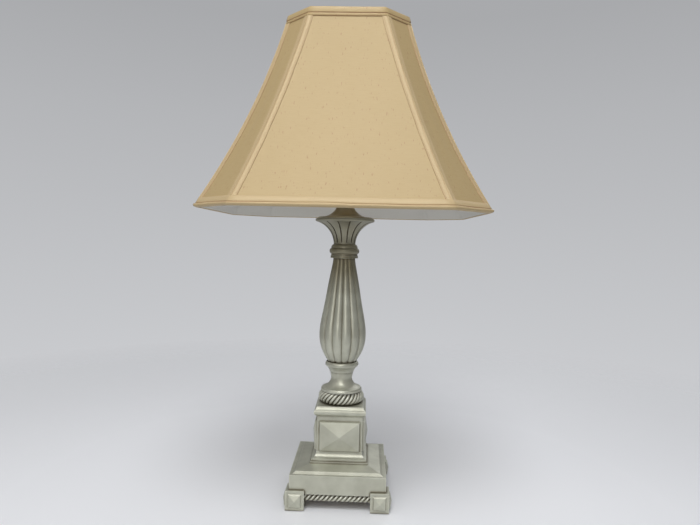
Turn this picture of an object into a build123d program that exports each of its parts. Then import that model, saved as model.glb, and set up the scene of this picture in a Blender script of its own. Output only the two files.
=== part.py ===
"""Candlestick table lamp: square footed plinth, fluted baluster column, harp and bell shade.

Millimetres. The origin is on the table under the column, +Z is up and -Y is the front.
"""

import math
import os

from build123d import *

# ---------------------------------------------------------------- driving sizes: base
PAD_THICKNESS = 1.0
PAD_RADIUS = 11.0
FEET_SPAN = 165.0
FOOT_WIDTH = 30.0
FOOT_TOP = 32.0
FOOT_FRAME = 4.6
FOOT_BOSS_RISE = 4.6
FOOT_BOSS_SHOULDER = 2.1
BOSS_BEVEL = 1.6
BOSS_TIP = 0.4

SLAB_WIDTH = 154.4
SLAB_BOTTOM = 25.6
SLAB_TOP = 55.6
SKIRT_BOTTOM = 12.6
ROPE_RADIUS = 5.7
ROPE_CENTRE_HEIGHT = 18.9
ROPE_BEDDING = 3.2
BORDER_WIDTH = 5.2
FIELD_STEP_WIDTH = 4.4
FIELD_STEP_RISE = 3.4
SHOULDER_RISE = 5.2
PLINTH_WALL = 7.0
PLINTH_ROOF = 6.5

COVER_THICKNESS = 3.0
WEIGHT_RADIUS = 50.0
WEIGHT_THICKNESS = 14.0

CORD_HOLE_RADIUS = 6.5
CORD_PASSAGE_RADIUS = 3.6
CORD_HOLE_HEIGHT = 40.0
BUSHING_FLANGE_RADIUS = 9.0
BUSHING_FLANGE_THICKNESS = 2.0

# ---------------------------------------------------------------- driving sizes: pedestal
PEDESTAL_FOOT_WIDTH = 94.2
PEDESTAL_FOOT_RISE = 2.8
PEDESTAL_FLARE_WIDTH = 90.4
PEDESTAL_FLARE_RISE = 4.2
COVE_RISE = 5.8
COVE_RADIUS = 8.6
BEAD_RISE = 4.8
DIE_WIDTH = 74.8
DIE_BEAD_WIDTH = 75.6
DIE_RISE = 58.2
DIE_TOP_BAND = 8.4
PANEL_WIDTH = 67.6
PANEL_BOSS_RISE = 9.0
PANEL_BOSS_SHOULDER = 4.0
CAP_SPRING_WIDTH = 77.0
CAP_NOSE_WIDTH = 85.6
CAP_TOP_WIDTH = 76.4
CAP_UNDERCUT_RISE = 3.4
CAP_NOSE_RISE = 6.4
CAP_NOSE_ROUND = 0.7
CAP_SLOPE_RISE = 5.9
CAP_SLOPE_RADIUS = 9.0
PEDESTAL_WALL = 9.0

# ---------------------------------------------------------------- driving sizes: column
RING_TUBE_RADIUS = 10.0
RING_CENTRE_RADIUS = 28.8
RING_SEAT_RISE = 0.1
BELL_FILLET_RADIUS = 34.6
BELL_FILLET_RISE = 2.6
BELL_SHOULDER_RISE = 5.1
BELL_SHOULDER_RADIUS = 32.9
NECK_RADIUS = 17.7
BELL_CURVE_RISE = 16.0
BELL_CURVE_RADIUS = 18.0
NECK_RING_RADIUS = 19.2
NECK_RING_RISE = 3.5
NECK_RISE = 10.5
CUP_FOOT_RADIUS = 20.6
CUP_RIM_RADIUS = 28.2
CUP_BOWL_RISE = 10.0
CUP_LIP_RISE = 7.5
CUP_BOWL_HOLLOW = 1.8
CUP_LIP_TUCK = 0.9
CUP_MOUTH_RADIUS = 24.9
CUP_MOUTH_LAND = 0.7
CUP_DEPTH = 6.0
FLUTE_COUNT = 14
FLUTE_DEPTH_SHARE = 0.085
BALUSTER_FOOT_RADIUS = 19.5
BALUSTER_LOW_RADIUS = 33.0
BALUSTER_LOW_RISE = 21.0
BALUSTER_BELLY_RADIUS = 39.5
BALUSTER_BELLY_RISE = 50.0
BALUSTER_UPPER_RADIUS = 34.6
BALUSTER_UPPER_RISE = 89.0
BALUSTER_SHANK_RADIUS = 28.9
BALUSTER_SHANK_RISE = 120.5
BALUSTER_WAIST_RADIUS = 23.2
BALUSTER_WAIST_RISE = 153.0
BALUSTER_TOP_RADIUS = 18.4
BALUSTER_HEIGHT = 181.6
COLLAR_BAND_RADIUS = 23.2
COLLAR_BAND_RISE = 4.2
COLLAR_FILLET_RADIUS = 22.2
COLLAR_FILLET_RISE = 2.8
COLLAR_TORUS_RADIUS = 25.3
COLLAR_TORUS_RISE = 9.8
COLLAR_RING_RADIUS = 21.8
COLLAR_RING_RISE = 6.6
CAPITAL_NECK_RADIUS = 18.4
CAPITAL_RIM_RADIUS = 50.0
CAPITAL_RISE = 43.0
CAPITAL_LIP_RISE = 5.0
CAPITAL_CURVE_RADIUS = 26.0
CAPITAL_CURVE_RISE = 22.5
CAPITAL_LIP_TUCK = 1.6
CAPITAL_LIP_ROUND = 2.0
CAPITAL_GROOVE_WIDTH = 2.4
CAPITAL_GROOVE_DEPTH = 1.8
CAPITAL_GROOVE_MARGIN = 8.0
CAPITAL_GROOVE_STOP = 0.6
PAN_EDGE_MARGIN = 2.4
PAN_EDGE_SLOPE = 2.6
PAN_EDGE_RISE = 2.3
PAN_MIDDLE_RADIUS = 27.4
PAN_MIDDLE_RISE = 6.2
PAN_THROAT_RADIUS = 17.0
PAN_THROAT_RISE = 15.0
PAN_TOP_RADIUS = 14.0
PAN_RISE = 21.0
COLUMN_WALL = 8.0
BALUSTER_BELLY_WALL = 12.0

# ---------------------------------------------------------------- driving sizes: hardware
PIPE_RADIUS = 5.14
PIPE_BORE_RADIUS = 3.6
PIPE_CLEARANCE = 0.2
PIPE_BOTTOM_STICKOUT = 3.0
WASHER_RADIUS = 15.0
WASHER_THICKNESS = 1.6
NUT_FLATS = 15.9
NUT_THICKNESS = 5.0
LOCK_WASHER_RADIUS = 8.6
LOCK_WASHER_THICKNESS = 1.4
SEAT_RING_RADIUS = 12.5
SEAT_RING_THICKNESS = 2.0

SADDLE_THICKNESS = 2.0
SADDLE_WIDTH = 12.0
SADDLE_SHELF = 30.0
EAR_WIDTH = 4.0
EAR_HEIGHT = 15.0

SOCKET_RADIUS = 16.6
SOCKET_WALL = 0.6
CAP_NECK_RADIUS = 7.6
CAP_NECK_RISE = 7.0
CAP_DOME_RISE = 12.0
SHELL_RISE = 44.0
LINER_THICKNESS = 0.8
SWITCH_BLOCK_RISE = 20.0
SCREW_SHELL_RISE = 24.0
SCREW_SHELL_WALL = 0.5
CONTACT_RADIUS = 3.6
CONTACT_RISE = 3.0
TERMINAL_SCREW_RADIUS = 2.6
TERMINAL_SCREW_LENGTH = 3.4
TERMINAL_SCREW_SINK = 1.0
SET_SCREW_RADIUS = 1.9
SET_SCREW_LENGTH = 5.0
SET_SCREW_SLOT_WIDTH = 0.8
SET_SCREW_SLOT_DEPTH = 1.0

KNOB_SHAFT_RADIUS = 2.0
KNOB_SHAFT_LENGTH = 13.0
KNOB_RADIUS = 5.6
KNOB_LENGTH = 12.0
KNOB_STANDOFF = 3.0
KNOB_SOCKET_DEPTH = 6.0
KNOB_GRIPS = 12
KNOB_GRIP_RADIUS = 0.7

BULB_BASE_RADIUS = 13.0
BULB_BASE_RISE = 24.0
BULB_TIP_RADIUS = 4.6
BULB_TIP_RISE = 2.4
BULB_TIP_FLARE = 1.5
BULB_TIP_EDGE = 0.8
BULB_BASE_BEVEL = 1.6
BULB_RADIUS = 30.0
BULB_LENGTH = 110.0
BULB_NECK_STEP = 0.3
BULB_NECK_FLARE = 0.5
BULB_NECK_RISE = 4.0
BULB_SHOULDER_FLARE = 4.6
BULB_SHOULDER_RISE = 22.5
BULB_TANGENT_ANGLE = 28.0
BULB_WALL = 1.0

HARP_WIRE_RADIUS = 1.8
HARP_LENGTH = 279.0
HARP_STRAIGHT = 40.0
HARP_HALF_WIDTH = 56.0
HARP_BULGE_START = 82.0
HARP_BULGE_END = 160.0
HARP_TOP_HALF_WIDTH = 21.0
HARP_BULGE_FILLET = 55.0
HARP_FLANK_FILLET = 150.0
HARP_TOP_FILLET = 15.0
HARP_EYE_RADIUS = 7.0
HARP_EYE_THICKNESS = 3.0
FERRULE_WALL = 1.0
FERRULE_HEIGHT = 12.0

STUD_SHANK_RADIUS = 3.4
STUD_HEAD_RADIUS = 5.4
STUD_HEAD_THICKNESS = 1.8
STUD_SHOULDER_RADIUS = 8.6
STUD_SHOULDER_THICKNESS = 2.0
STUD_THREAD_RADIUS = 3.15
STUD_THREAD_LENGTH = 15.0
STUD_CHAMFER = 0.8

FINIAL_FLANGE_RADIUS = 9.0
FINIAL_FLANGE_THICKNESS = 3.0
FINIAL_NECK_RADIUS = 5.2
FINIAL_NECK_RISE = 4.6
FINIAL_BALL_RADIUS = 10.0
FINIAL_TIP_RADIUS = 3.0
FINIAL_POINT_RADIUS = 1.5
FINIAL_TIP_RISE = 5.0

# ---------------------------------------------------------------- driving sizes: shade
SHADE_HEIGHT = 312.4
SPIDER_DROP = 14.2
SHADE_BOTTOM_WIDTH = 445.0
SHADE_BOTTOM_DEPTH = 363.0
SHADE_BOTTOM_CUT = 64.0
SHADE_TOP_WIDTH = 191.6
SHADE_TOP_DEPTH = 155.2
SHADE_TOP_CUT = 38.4
RIB_SAG_ACROSS = 13.0
RIB_SAG_ALONG = 5.0
FABRIC_THICKNESS = 0.8
FRAME_WIRE_RADIUS = 1.4
LINING_DROP = 9.0
TRIM_THICKNESS = 0.8
RIB_TRIM_HALF_WIDTH = 8.6
TRIM_END_GAP = 0.3
TOP_TRIM_WIDTH = 15.2
BOTTOM_TRIM_WIDTH = 15.2
SPIDER_HUB_RADIUS = 12.0
SPIDER_HUB_THICKNESS = 2.4
SPIDER_WIRE_RADIUS = 1.6
SPIDER_FLAT = 27.0
SPIDER_BEND_RADIUS = 16.0
SPIDER_EMBED = 1.2

# ---------------------------------------------------------------- clearances
SEAT_GAP = 0.1
RUNNING_GAP = 0.05
MOVING_GAP = 0.3
CLOTH_GAP = 0.15

os.makedirs("parts", exist_ok=True)


def save(piece, name):
    """Label a finished piece and write it under its own name."""
    piece.part.label = name
    export_step(piece.part, f"parts/{name}.step")


# ---------------------------------------------------------------- heights of the stack
half_slab = SLAB_WIDTH / 2
foot_centre = (FEET_SPAN - FOOT_WIDTH) / 2
corner_spots = [(x, y) for x in (-foot_centre, foot_centre) for y in (-foot_centre, foot_centre)]
field_foot = SLAB_WIDTH - 2 * BORDER_WIDTH
field_edge = field_foot - 2 * FIELD_STEP_WIDTH
field_height = SLAB_TOP + FIELD_STEP_RISE
plinth_top = field_height + SHOULDER_RISE
cavity_width = SLAB_WIDTH - 2 * (ROPE_RADIUS + PLINTH_WALL)
cavity_roof = SLAB_TOP - PLINTH_ROOF
pipe_hole = PIPE_RADIUS + PIPE_CLEARANCE

pedestal_flare = plinth_top + PEDESTAL_FOOT_RISE
cove_foot = pedestal_flare + PEDESTAL_FLARE_RISE
bead_foot = cove_foot + COVE_RISE
die_foot = bead_foot + BEAD_RISE
die_top = die_foot + DIE_RISE
cap_nose_foot = die_top + CAP_UNDERCUT_RISE
cap_nose_top = cap_nose_foot + CAP_NOSE_RISE
pedestal_top = cap_nose_top + CAP_SLOPE_RISE

ring_height = pedestal_top + RING_SEAT_RISE + RING_TUBE_RADIUS
bell_foot = ring_height + RING_TUBE_RADIUS + SEAT_GAP
bell_shoulder = bell_foot + BELL_SHOULDER_RISE
neck_foot = bell_shoulder + BELL_CURVE_RISE
neck_top = neck_foot + NECK_RISE
cup_bowl_top = neck_top + CUP_BOWL_RISE
cup_top = cup_bowl_top + CUP_LIP_RISE
baluster_foot = cup_top - CUP_DEPTH
baluster_top = baluster_foot + BALUSTER_HEIGHT
collar_fillet = baluster_top + COLLAR_BAND_RISE
collar_torus = collar_fillet + COLLAR_FILLET_RISE
collar_ring = collar_torus + COLLAR_TORUS_RISE
collar_top = collar_ring + COLLAR_RING_RISE
capital_top = collar_top + CAPITAL_RISE
pan_top = capital_top + PAN_RISE

seat_top = pan_top + SEAT_RING_THICKNESS
saddle_top = seat_top + SADDLE_THICKNESS
shelf_height = saddle_top
cap_dome_foot = saddle_top + CAP_NECK_RISE
shell_foot = cap_dome_foot + CAP_DOME_RISE
block_top = shell_foot + SWITCH_BLOCK_RISE
contact_top = block_top + CONTACT_RISE
bulb_tip = contact_top + SEAT_GAP
bulb_base_foot = bulb_tip + BULB_TIP_RISE
bulb_base_top = bulb_base_foot + BULB_BASE_RISE
bulb_top = bulb_tip + BULB_LENGTH

leg_offset = SADDLE_SHELF - HARP_WIRE_RADIUS - MOVING_GAP
ear_outer = leg_offset - HARP_WIRE_RADIUS - MOVING_GAP
ear_inner = ear_outer - SADDLE_THICKNESS
harp_foot = shelf_height + MOVING_GAP
harp_wire_top = harp_foot + HARP_LENGTH - HARP_EYE_THICKNESS
eye_top = harp_wire_top + HARP_EYE_THICKNESS / 2
ferrule_centre = (ear_inner + leg_offset + HARP_WIRE_RADIUS) / 2
ferrule_bore = math.hypot(ferrule_centre - ear_inner, EAR_WIDTH / 2) + MOVING_GAP

shoulder_foot = eye_top + MOVING_GAP
shoulder_top = shoulder_foot + STUD_SHOULDER_THICKNESS
hub_foot = shoulder_top + MOVING_GAP
hub_top = hub_foot + SPIDER_HUB_THICKNESS
finial_foot = hub_top + MOVING_GAP
stud_top = shoulder_top + STUD_THREAD_LENGTH
shade_top = hub_top + SPIDER_DROP
shade_bottom = shade_top - SHADE_HEIGHT


# ---------------------------------------------------------------- base
def boss(width, height, rise, shoulder):
    """Nail-head boss: a bevelled rectangular edge under a shallow pyramid, on the sketch plane XY."""
    with BuildPart() as nail_head:
        with BuildSketch(Plane.XY):
            Rectangle(width, height)
        with BuildSketch(Plane.XY.offset(shoulder)):
            Rectangle(width - 2 * BOSS_BEVEL, height - 2 * BOSS_BEVEL)
        loft(ruled=True)
        with BuildSketch(Plane.XY.offset(shoulder)):
            Rectangle(width - 2 * BOSS_BEVEL, height - 2 * BOSS_BEVEL)
        with BuildSketch(Plane.XY.offset(rise)):
            Rectangle(BOSS_TIP, BOSS_TIP)
        loft(ruled=True)
    return nail_head.part


with BuildPart() as foot_pads:
    with BuildSketch(Plane.XY):
        with Locations(*corner_spots):
            Circle(PAD_RADIUS)
    extrude(amount=PAD_THICKNESS)
save(foot_pads, "foot_pads")

foot_boss_width = FOOT_WIDTH - 2 * FOOT_FRAME
foot_boss_height = FOOT_TOP - PAD_THICKNESS - 2 * FOOT_FRAME
foot_boss = boss(foot_boss_width, foot_boss_height, FOOT_BOSS_RISE, FOOT_BOSS_SHOULDER)
boss_height = (FOOT_TOP + PAD_THICKNESS) / 2
with BuildPart() as corner_feet:
    with BuildSketch(Plane.XY.offset(PAD_THICKNESS)):
        with Locations(*corner_spots):
            Rectangle(FOOT_WIDTH, FOOT_WIDTH)
    extrude(amount=FOOT_TOP - PAD_THICKNESS)
    for side_x in (-1, 1):
        for side_y in (-1, 1):
            face_x = Plane(
                origin=(side_x * FEET_SPAN / 2, side_y * foot_centre, boss_height),
                x_dir=(0, side_x, 0),
                z_dir=(side_x, 0, 0),
            )
            face_y = Plane(
                origin=(side_x * foot_centre, side_y * FEET_SPAN / 2, boss_height),
                x_dir=(-side_y, 0, 0),
                z_dir=(0, side_y, 0),
            )
            add(face_x.from_local_coords(foot_boss))
            add(face_y.from_local_coords(foot_boss))
save(corner_feet, "corner_feet")

rope_offset = half_slab - ROPE_RADIUS
rope_length = FEET_SPAN - 2 * FOOT_WIDTH - 2 * SEAT_GAP
with BuildPart() as rope_mouldings:
    for side in (-1, 1):
        with BuildSketch(Plane.YZ.offset(-rope_length / 2)):
            with Locations((side * rope_offset, ROPE_CENTRE_HEIGHT)):
                Circle(ROPE_RADIUS)
        extrude(amount=rope_length)
        with BuildSketch(Plane.XZ.offset(-rope_length / 2)):
            with Locations((side * rope_offset, ROPE_CENTRE_HEIGHT)):
                Circle(ROPE_RADIUS)
        extrude(amount=rope_length)
save(rope_mouldings, "rope_mouldings")

skirt_width = SLAB_WIDTH - 2 * (2 * ROPE_RADIUS - ROPE_BEDDING)
with BuildPart() as base_plinth:
    with BuildSketch(Plane.XY.offset(SLAB_BOTTOM)):
        Rectangle(SLAB_WIDTH, SLAB_WIDTH)
    extrude(amount=SLAB_TOP - SLAB_BOTTOM)
    with BuildSketch(Plane.XY.offset(SKIRT_BOTTOM)):
        Rectangle(skirt_width, skirt_width)
    extrude(amount=SLAB_BOTTOM - SKIRT_BOTTOM)
    with BuildSketch(Plane.XY.offset(SLAB_TOP)):
        Rectangle(field_foot, field_foot)
    with BuildSketch(Plane.XY.offset(field_height)):
        Rectangle(field_edge, field_edge)
    loft(ruled=True)
    with BuildSketch(Plane.XY.offset(field_height)):
        Rectangle(field_edge, field_edge)
    with BuildSketch(Plane.XY.offset(plinth_top)):
        Rectangle(PEDESTAL_FOOT_WIDTH, PEDESTAL_FOOT_WIDTH)
    loft(ruled=True)
    with BuildSketch(Plane.XY.offset(SKIRT_BOTTOM)):
        Rectangle(cavity_width, cavity_width)
    extrude(amount=cavity_roof - SKIRT_BOTTOM, mode=Mode.SUBTRACT)
    with BuildSketch(Plane.XY.offset(SKIRT_BOTTOM)):
        with Locations(*corner_spots):
            Rectangle(FOOT_WIDTH + 2 * SEAT_GAP, FOOT_WIDTH + 2 * SEAT_GAP)
    extrude(amount=FOOT_TOP + SEAT_GAP - SKIRT_BOTTOM, mode=Mode.SUBTRACT)
    for side in (-1, 1):
        with BuildSketch(Plane.YZ.offset(-half_slab)):
            with Locations((side * rope_offset, ROPE_CENTRE_HEIGHT)):
                Circle(ROPE_RADIUS + SEAT_GAP)
        extrude(amount=SLAB_WIDTH, mode=Mode.SUBTRACT)
        with BuildSketch(Plane.XZ.offset(-half_slab)):
            with Locations((side * rope_offset, ROPE_CENTRE_HEIGHT)):
                Circle(ROPE_RADIUS + SEAT_GAP)
        extrude(amount=SLAB_WIDTH, mode=Mode.SUBTRACT)
    with BuildSketch(Plane.XY.offset(cavity_roof)):
        Circle(pipe_hole)
    extrude(amount=plinth_top - cavity_roof, mode=Mode.SUBTRACT)
    with BuildSketch(Plane.XZ.offset(-half_slab)):
        with Locations((0, CORD_HOLE_HEIGHT)):
            Circle(CORD_HOLE_RADIUS)
    extrude(amount=half_slab - cavity_width / 2, mode=Mode.SUBTRACT)
save(base_plinth, "base_plinth")

cover_width = cavity_width - 2 * SEAT_GAP
with BuildPart() as base_cover:
    with BuildSketch(Plane.XY.offset(SKIRT_BOTTOM)):
        Rectangle(cover_width, cover_width)
        with Locations(*corner_spots):
            Rectangle(FOOT_WIDTH + 4 * SEAT_GAP, FOOT_WIDTH + 4 * SEAT_GAP, mode=Mode.SUBTRACT)
    extrude(amount=COVER_THICKNESS)
save(base_cover, "base_cover")

weight_top = cavity_roof
weight_foot = weight_top - WEIGHT_THICKNESS
with BuildPart() as base_weight:
    with BuildSketch(Plane.XY.offset(weight_foot)):
        Circle(WEIGHT_RADIUS)
        Circle(pipe_hole, mode=Mode.SUBTRACT)
    extrude(amount=WEIGHT_THICKNESS)
    chamfer(base_weight.edges().group_by(Axis.Z)[0].sort_by(SortBy.RADIUS)[-1], length=BOSS_BEVEL)
save(base_weight, "base_weight")

bushing_barrel = CORD_HOLE_RADIUS - SEAT_GAP
bushing_length = half_slab - cavity_width / 2
with BuildPart() as cord_bushing:
    with BuildSketch(Plane.XZ.offset(-half_slab - BUSHING_FLANGE_THICKNESS)):
        with Locations((0, CORD_HOLE_HEIGHT)):
            Circle(BUSHING_FLANGE_RADIUS)
    extrude(amount=BUSHING_FLANGE_THICKNESS)
    fillet(cord_bushing.edges().sort_by(Axis.Y)[-1], radius=BUSHING_FLANGE_THICKNESS / 2)
    with BuildSketch(Plane.XZ.offset(-half_slab)):
        with Locations((0, CORD_HOLE_HEIGHT)):
            Circle(bushing_barrel)
    extrude(amount=bushing_length)
    with BuildSketch(Plane.XZ.offset(-half_slab - BUSHING_FLANGE_THICKNESS)):
        with Locations((0, CORD_HOLE_HEIGHT)):
            Circle(CORD_PASSAGE_RADIUS)
    extrude(amount=bushing_length + BUSHING_FLANGE_THICKNESS, mode=Mode.SUBTRACT)
save(cord_bushing, "cord_bushing")


# ---------------------------------------------------------------- pedestal
def pedestal_outline(plane):
    """Half section of the square pedestal on its upright plane, mirrored over the column axis."""
    foot = PEDESTAL_FOOT_WIDTH / 2
    flare = PEDESTAL_FLARE_WIDTH / 2
    bead = DIE_BEAD_WIDTH / 2
    die = DIE_WIDTH / 2
    spring = CAP_SPRING_WIDTH / 2
    nose = CAP_NOSE_WIDTH / 2
    nose_edge = nose - CAP_NOSE_ROUND
    top = CAP_TOP_WIDTH / 2
    nose_middle = (cap_nose_foot + cap_nose_top) / 2
    with BuildSketch(plane) as outline:
        with BuildLine():
            Polyline((0, plinth_top), (foot, plinth_top), (foot, pedestal_flare), (flare, pedestal_flare))
            Line((flare, pedestal_flare), (flare, cove_foot))
            RadiusArc((flare, cove_foot), (bead, bead_foot), COVE_RADIUS)
            Polyline((bead, bead_foot), (bead, die_foot), (die, die_foot), (die, die_top), (spring, die_top))
            Line((spring, die_top), (nose_edge, cap_nose_foot))
            ThreePointArc((nose_edge, cap_nose_foot), (nose, nose_middle), (nose_edge, cap_nose_top))
            RadiusArc((nose_edge, cap_nose_top), (top, pedestal_top), CAP_SLOPE_RADIUS)
            Polyline((top, pedestal_top), (0, pedestal_top), (0, plinth_top))
        make_face()
        mirror(about=Plane.YZ)
    return outline.sketch


panel_height = DIE_RISE - DIE_TOP_BAND
panel_middle = die_foot + panel_height / 2
panel_boss = boss(PANEL_WIDTH, panel_height, PANEL_BOSS_RISE, PANEL_BOSS_SHOULDER)
with BuildPart() as pedestal_block:
    extrude(pedestal_outline(Plane.XZ), amount=PEDESTAL_FOOT_WIDTH, both=True)
    extrude(pedestal_outline(Plane.YZ), amount=PEDESTAL_FOOT_WIDTH, both=True, mode=Mode.INTERSECT)
    for turn in range(4):
        angle = math.radians(90 * turn)
        outward = (math.sin(angle), -math.cos(angle), 0)
        sideways = (math.cos(angle), math.sin(angle), 0)
        panel_plane = Plane(
            origin=(outward[0] * DIE_WIDTH / 2, outward[1] * DIE_WIDTH / 2, panel_middle),
            x_dir=sideways,
            z_dir=outward,
        )
        add(panel_plane.from_local_coords(panel_boss))
    with BuildSketch(Plane.XY.offset(plinth_top + PEDESTAL_WALL)):
        Rectangle(DIE_WIDTH - 2 * PEDESTAL_WALL, DIE_WIDTH - 2 * PEDESTAL_WALL)
    extrude(amount=pedestal_top - plinth_top - 2 * PEDESTAL_WALL, mode=Mode.SUBTRACT)
    with BuildSketch(Plane.XY.offset(plinth_top)):
        Circle(pipe_hole)
    extrude(amount=pedestal_top - plinth_top, mode=Mode.SUBTRACT)
save(pedestal_block, "pedestal_block")

# ---------------------------------------------------------------- column, turned pieces
bell_spigot = RING_CENTRE_RADIUS - RING_TUBE_RADIUS - SEAT_GAP
with BuildPart() as rope_ring:
    with BuildSketch(Plane.XZ):
        with Locations((RING_CENTRE_RADIUS, ring_height)):
            Circle(RING_TUBE_RADIUS)
    revolve(axis=Axis.Z)
save(rope_ring, "rope_ring")

with BuildPart() as bell_neck:
    with BuildSketch(Plane.XZ):
        with BuildLine():
            Polyline(
                (pipe_hole, pedestal_top),
                (bell_spigot, pedestal_top),
                (bell_spigot, bell_foot),
                (BELL_FILLET_RADIUS, bell_foot),
                (BELL_FILLET_RADIUS, bell_foot + BELL_FILLET_RISE),
                (BELL_SHOULDER_RADIUS, bell_shoulder),
            )
            RadiusArc((BELL_SHOULDER_RADIUS, bell_shoulder), (NECK_RADIUS, neck_foot), BELL_CURVE_RADIUS)
            Polyline(
                (NECK_RADIUS, neck_foot),
                (NECK_RING_RADIUS, neck_top - NECK_RING_RISE),
                (NECK_RING_RADIUS, neck_top),
                (pipe_hole, neck_top),
                (pipe_hole, pedestal_top),
            )
        make_face()
    revolve(axis=Axis.Z)
save(bell_neck, "bell_neck")

cup_bowl_middle = (CUP_FOOT_RADIUS + CUP_RIM_RADIUS) / 2 - CUP_BOWL_HOLLOW
cup_lip_foot = CUP_RIM_RADIUS - CUP_LIP_TUCK
cup_land = CUP_MOUTH_RADIUS + CUP_MOUTH_LAND
with BuildPart() as cup:
    with BuildSketch(Plane.XZ):
        with BuildLine():
            Line((pipe_hole, neck_top), (CUP_FOOT_RADIUS, neck_top))
            ThreePointArc(
                (CUP_FOOT_RADIUS, neck_top),
                (cup_bowl_middle, (neck_top + cup_bowl_top) / 2),
                (cup_lip_foot, cup_bowl_top),
            )
            ThreePointArc(
                (cup_lip_foot, cup_bowl_top),
                (CUP_RIM_RADIUS, (cup_bowl_top + cup_top) / 2),
                (cup_land, cup_top),
            )
            Polyline(
                (cup_land, cup_top),
                (CUP_MOUTH_RADIUS, cup_top),
                (CUP_MOUTH_RADIUS, baluster_foot),
                (pipe_hole, baluster_foot),
                (pipe_hole, neck_top),
            )
        make_face()
    revolve(axis=Axis.Z)
save(cup, "cup")


def fluted_section(radius, height):
    """One level of the fluted baluster: round lobes that meet in sharp grooves."""
    step = math.radians(360 / FLUTE_COUNT)
    groove = radius * (1 - FLUTE_DEPTH_SHARE)
    with BuildSketch(Plane.XY.offset(height)) as section:
        with BuildLine():
            for lobe in range(FLUTE_COUNT):
                start = lobe * step - math.pi / 2
                middle = start + step / 2
                end = start + step
                ThreePointArc(
                    (groove * math.cos(start), groove * math.sin(start)),
                    (radius * math.cos(middle), radius * math.sin(middle)),
                    (groove * math.cos(end), groove * math.sin(end)),
                )
        make_face()
    return section.sketch


baluster_levels = [
    (BALUSTER_FOOT_RADIUS, 0),
    (BALUSTER_LOW_RADIUS, BALUSTER_LOW_RISE),
    (BALUSTER_BELLY_RADIUS, BALUSTER_BELLY_RISE),
    (BALUSTER_UPPER_RADIUS, BALUSTER_UPPER_RISE),
    (BALUSTER_SHANK_RADIUS, BALUSTER_SHANK_RISE),
    (BALUSTER_WAIST_RADIUS, BALUSTER_WAIST_RISE),
    (BALUSTER_TOP_RADIUS, BALUSTER_HEIGHT),
]
with BuildPart() as fluted_baluster:
    loft([fluted_section(radius, baluster_foot + rise) for radius, rise in baluster_levels])
    with BuildSketch(Plane.XZ):
        with BuildLine():
            Polyline(
                (0, baluster_foot + COLUMN_WALL),
                (BALUSTER_FOOT_RADIUS - COLUMN_WALL, baluster_foot + COLUMN_WALL),
                (BALUSTER_BELLY_RADIUS - BALUSTER_BELLY_WALL, baluster_foot + BALUSTER_BELLY_RISE),
                (BALUSTER_WAIST_RADIUS - COLUMN_WALL, baluster_foot + BALUSTER_WAIST_RISE),
                (0, baluster_foot + BALUSTER_WAIST_RISE),
                (0, baluster_foot + COLUMN_WALL),
            )
        make_face()
    revolve(axis=Axis.Z, mode=Mode.SUBTRACT)
    with BuildSketch(Plane.XY.offset(baluster_foot)):
        Circle(pipe_hole)
    extrude(amount=BALUSTER_HEIGHT, mode=Mode.SUBTRACT)
save(fluted_baluster, "fluted_baluster")

with BuildPart() as collar:
    with BuildSketch(Plane.XZ):
        with BuildLine():
            Polyline(
                (pipe_hole, baluster_top),
                (COLLAR_BAND_RADIUS, baluster_top),
                (COLLAR_BAND_RADIUS, collar_fillet),
                (COLLAR_FILLET_RADIUS, collar_fillet),
                (COLLAR_FILLET_RADIUS, collar_torus),
            )
            ThreePointArc(
                (COLLAR_FILLET_RADIUS, collar_torus),
                (COLLAR_TORUS_RADIUS, (collar_torus + collar_ring) / 2),
                (COLLAR_FILLET_RADIUS, collar_ring),
            )
            ThreePointArc(
                (COLLAR_FILLET_RADIUS, collar_ring),
                (COLLAR_RING_RADIUS, (collar_ring + collar_top) / 2),
                (CAPITAL_NECK_RADIUS, collar_top),
            )
            Polyline((CAPITAL_NECK_RADIUS, collar_top), (pipe_hole, collar_top), (pipe_hole, baluster_top))
        make_face()
    revolve(axis=Axis.Z)
save(collar, "collar_ring")

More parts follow.
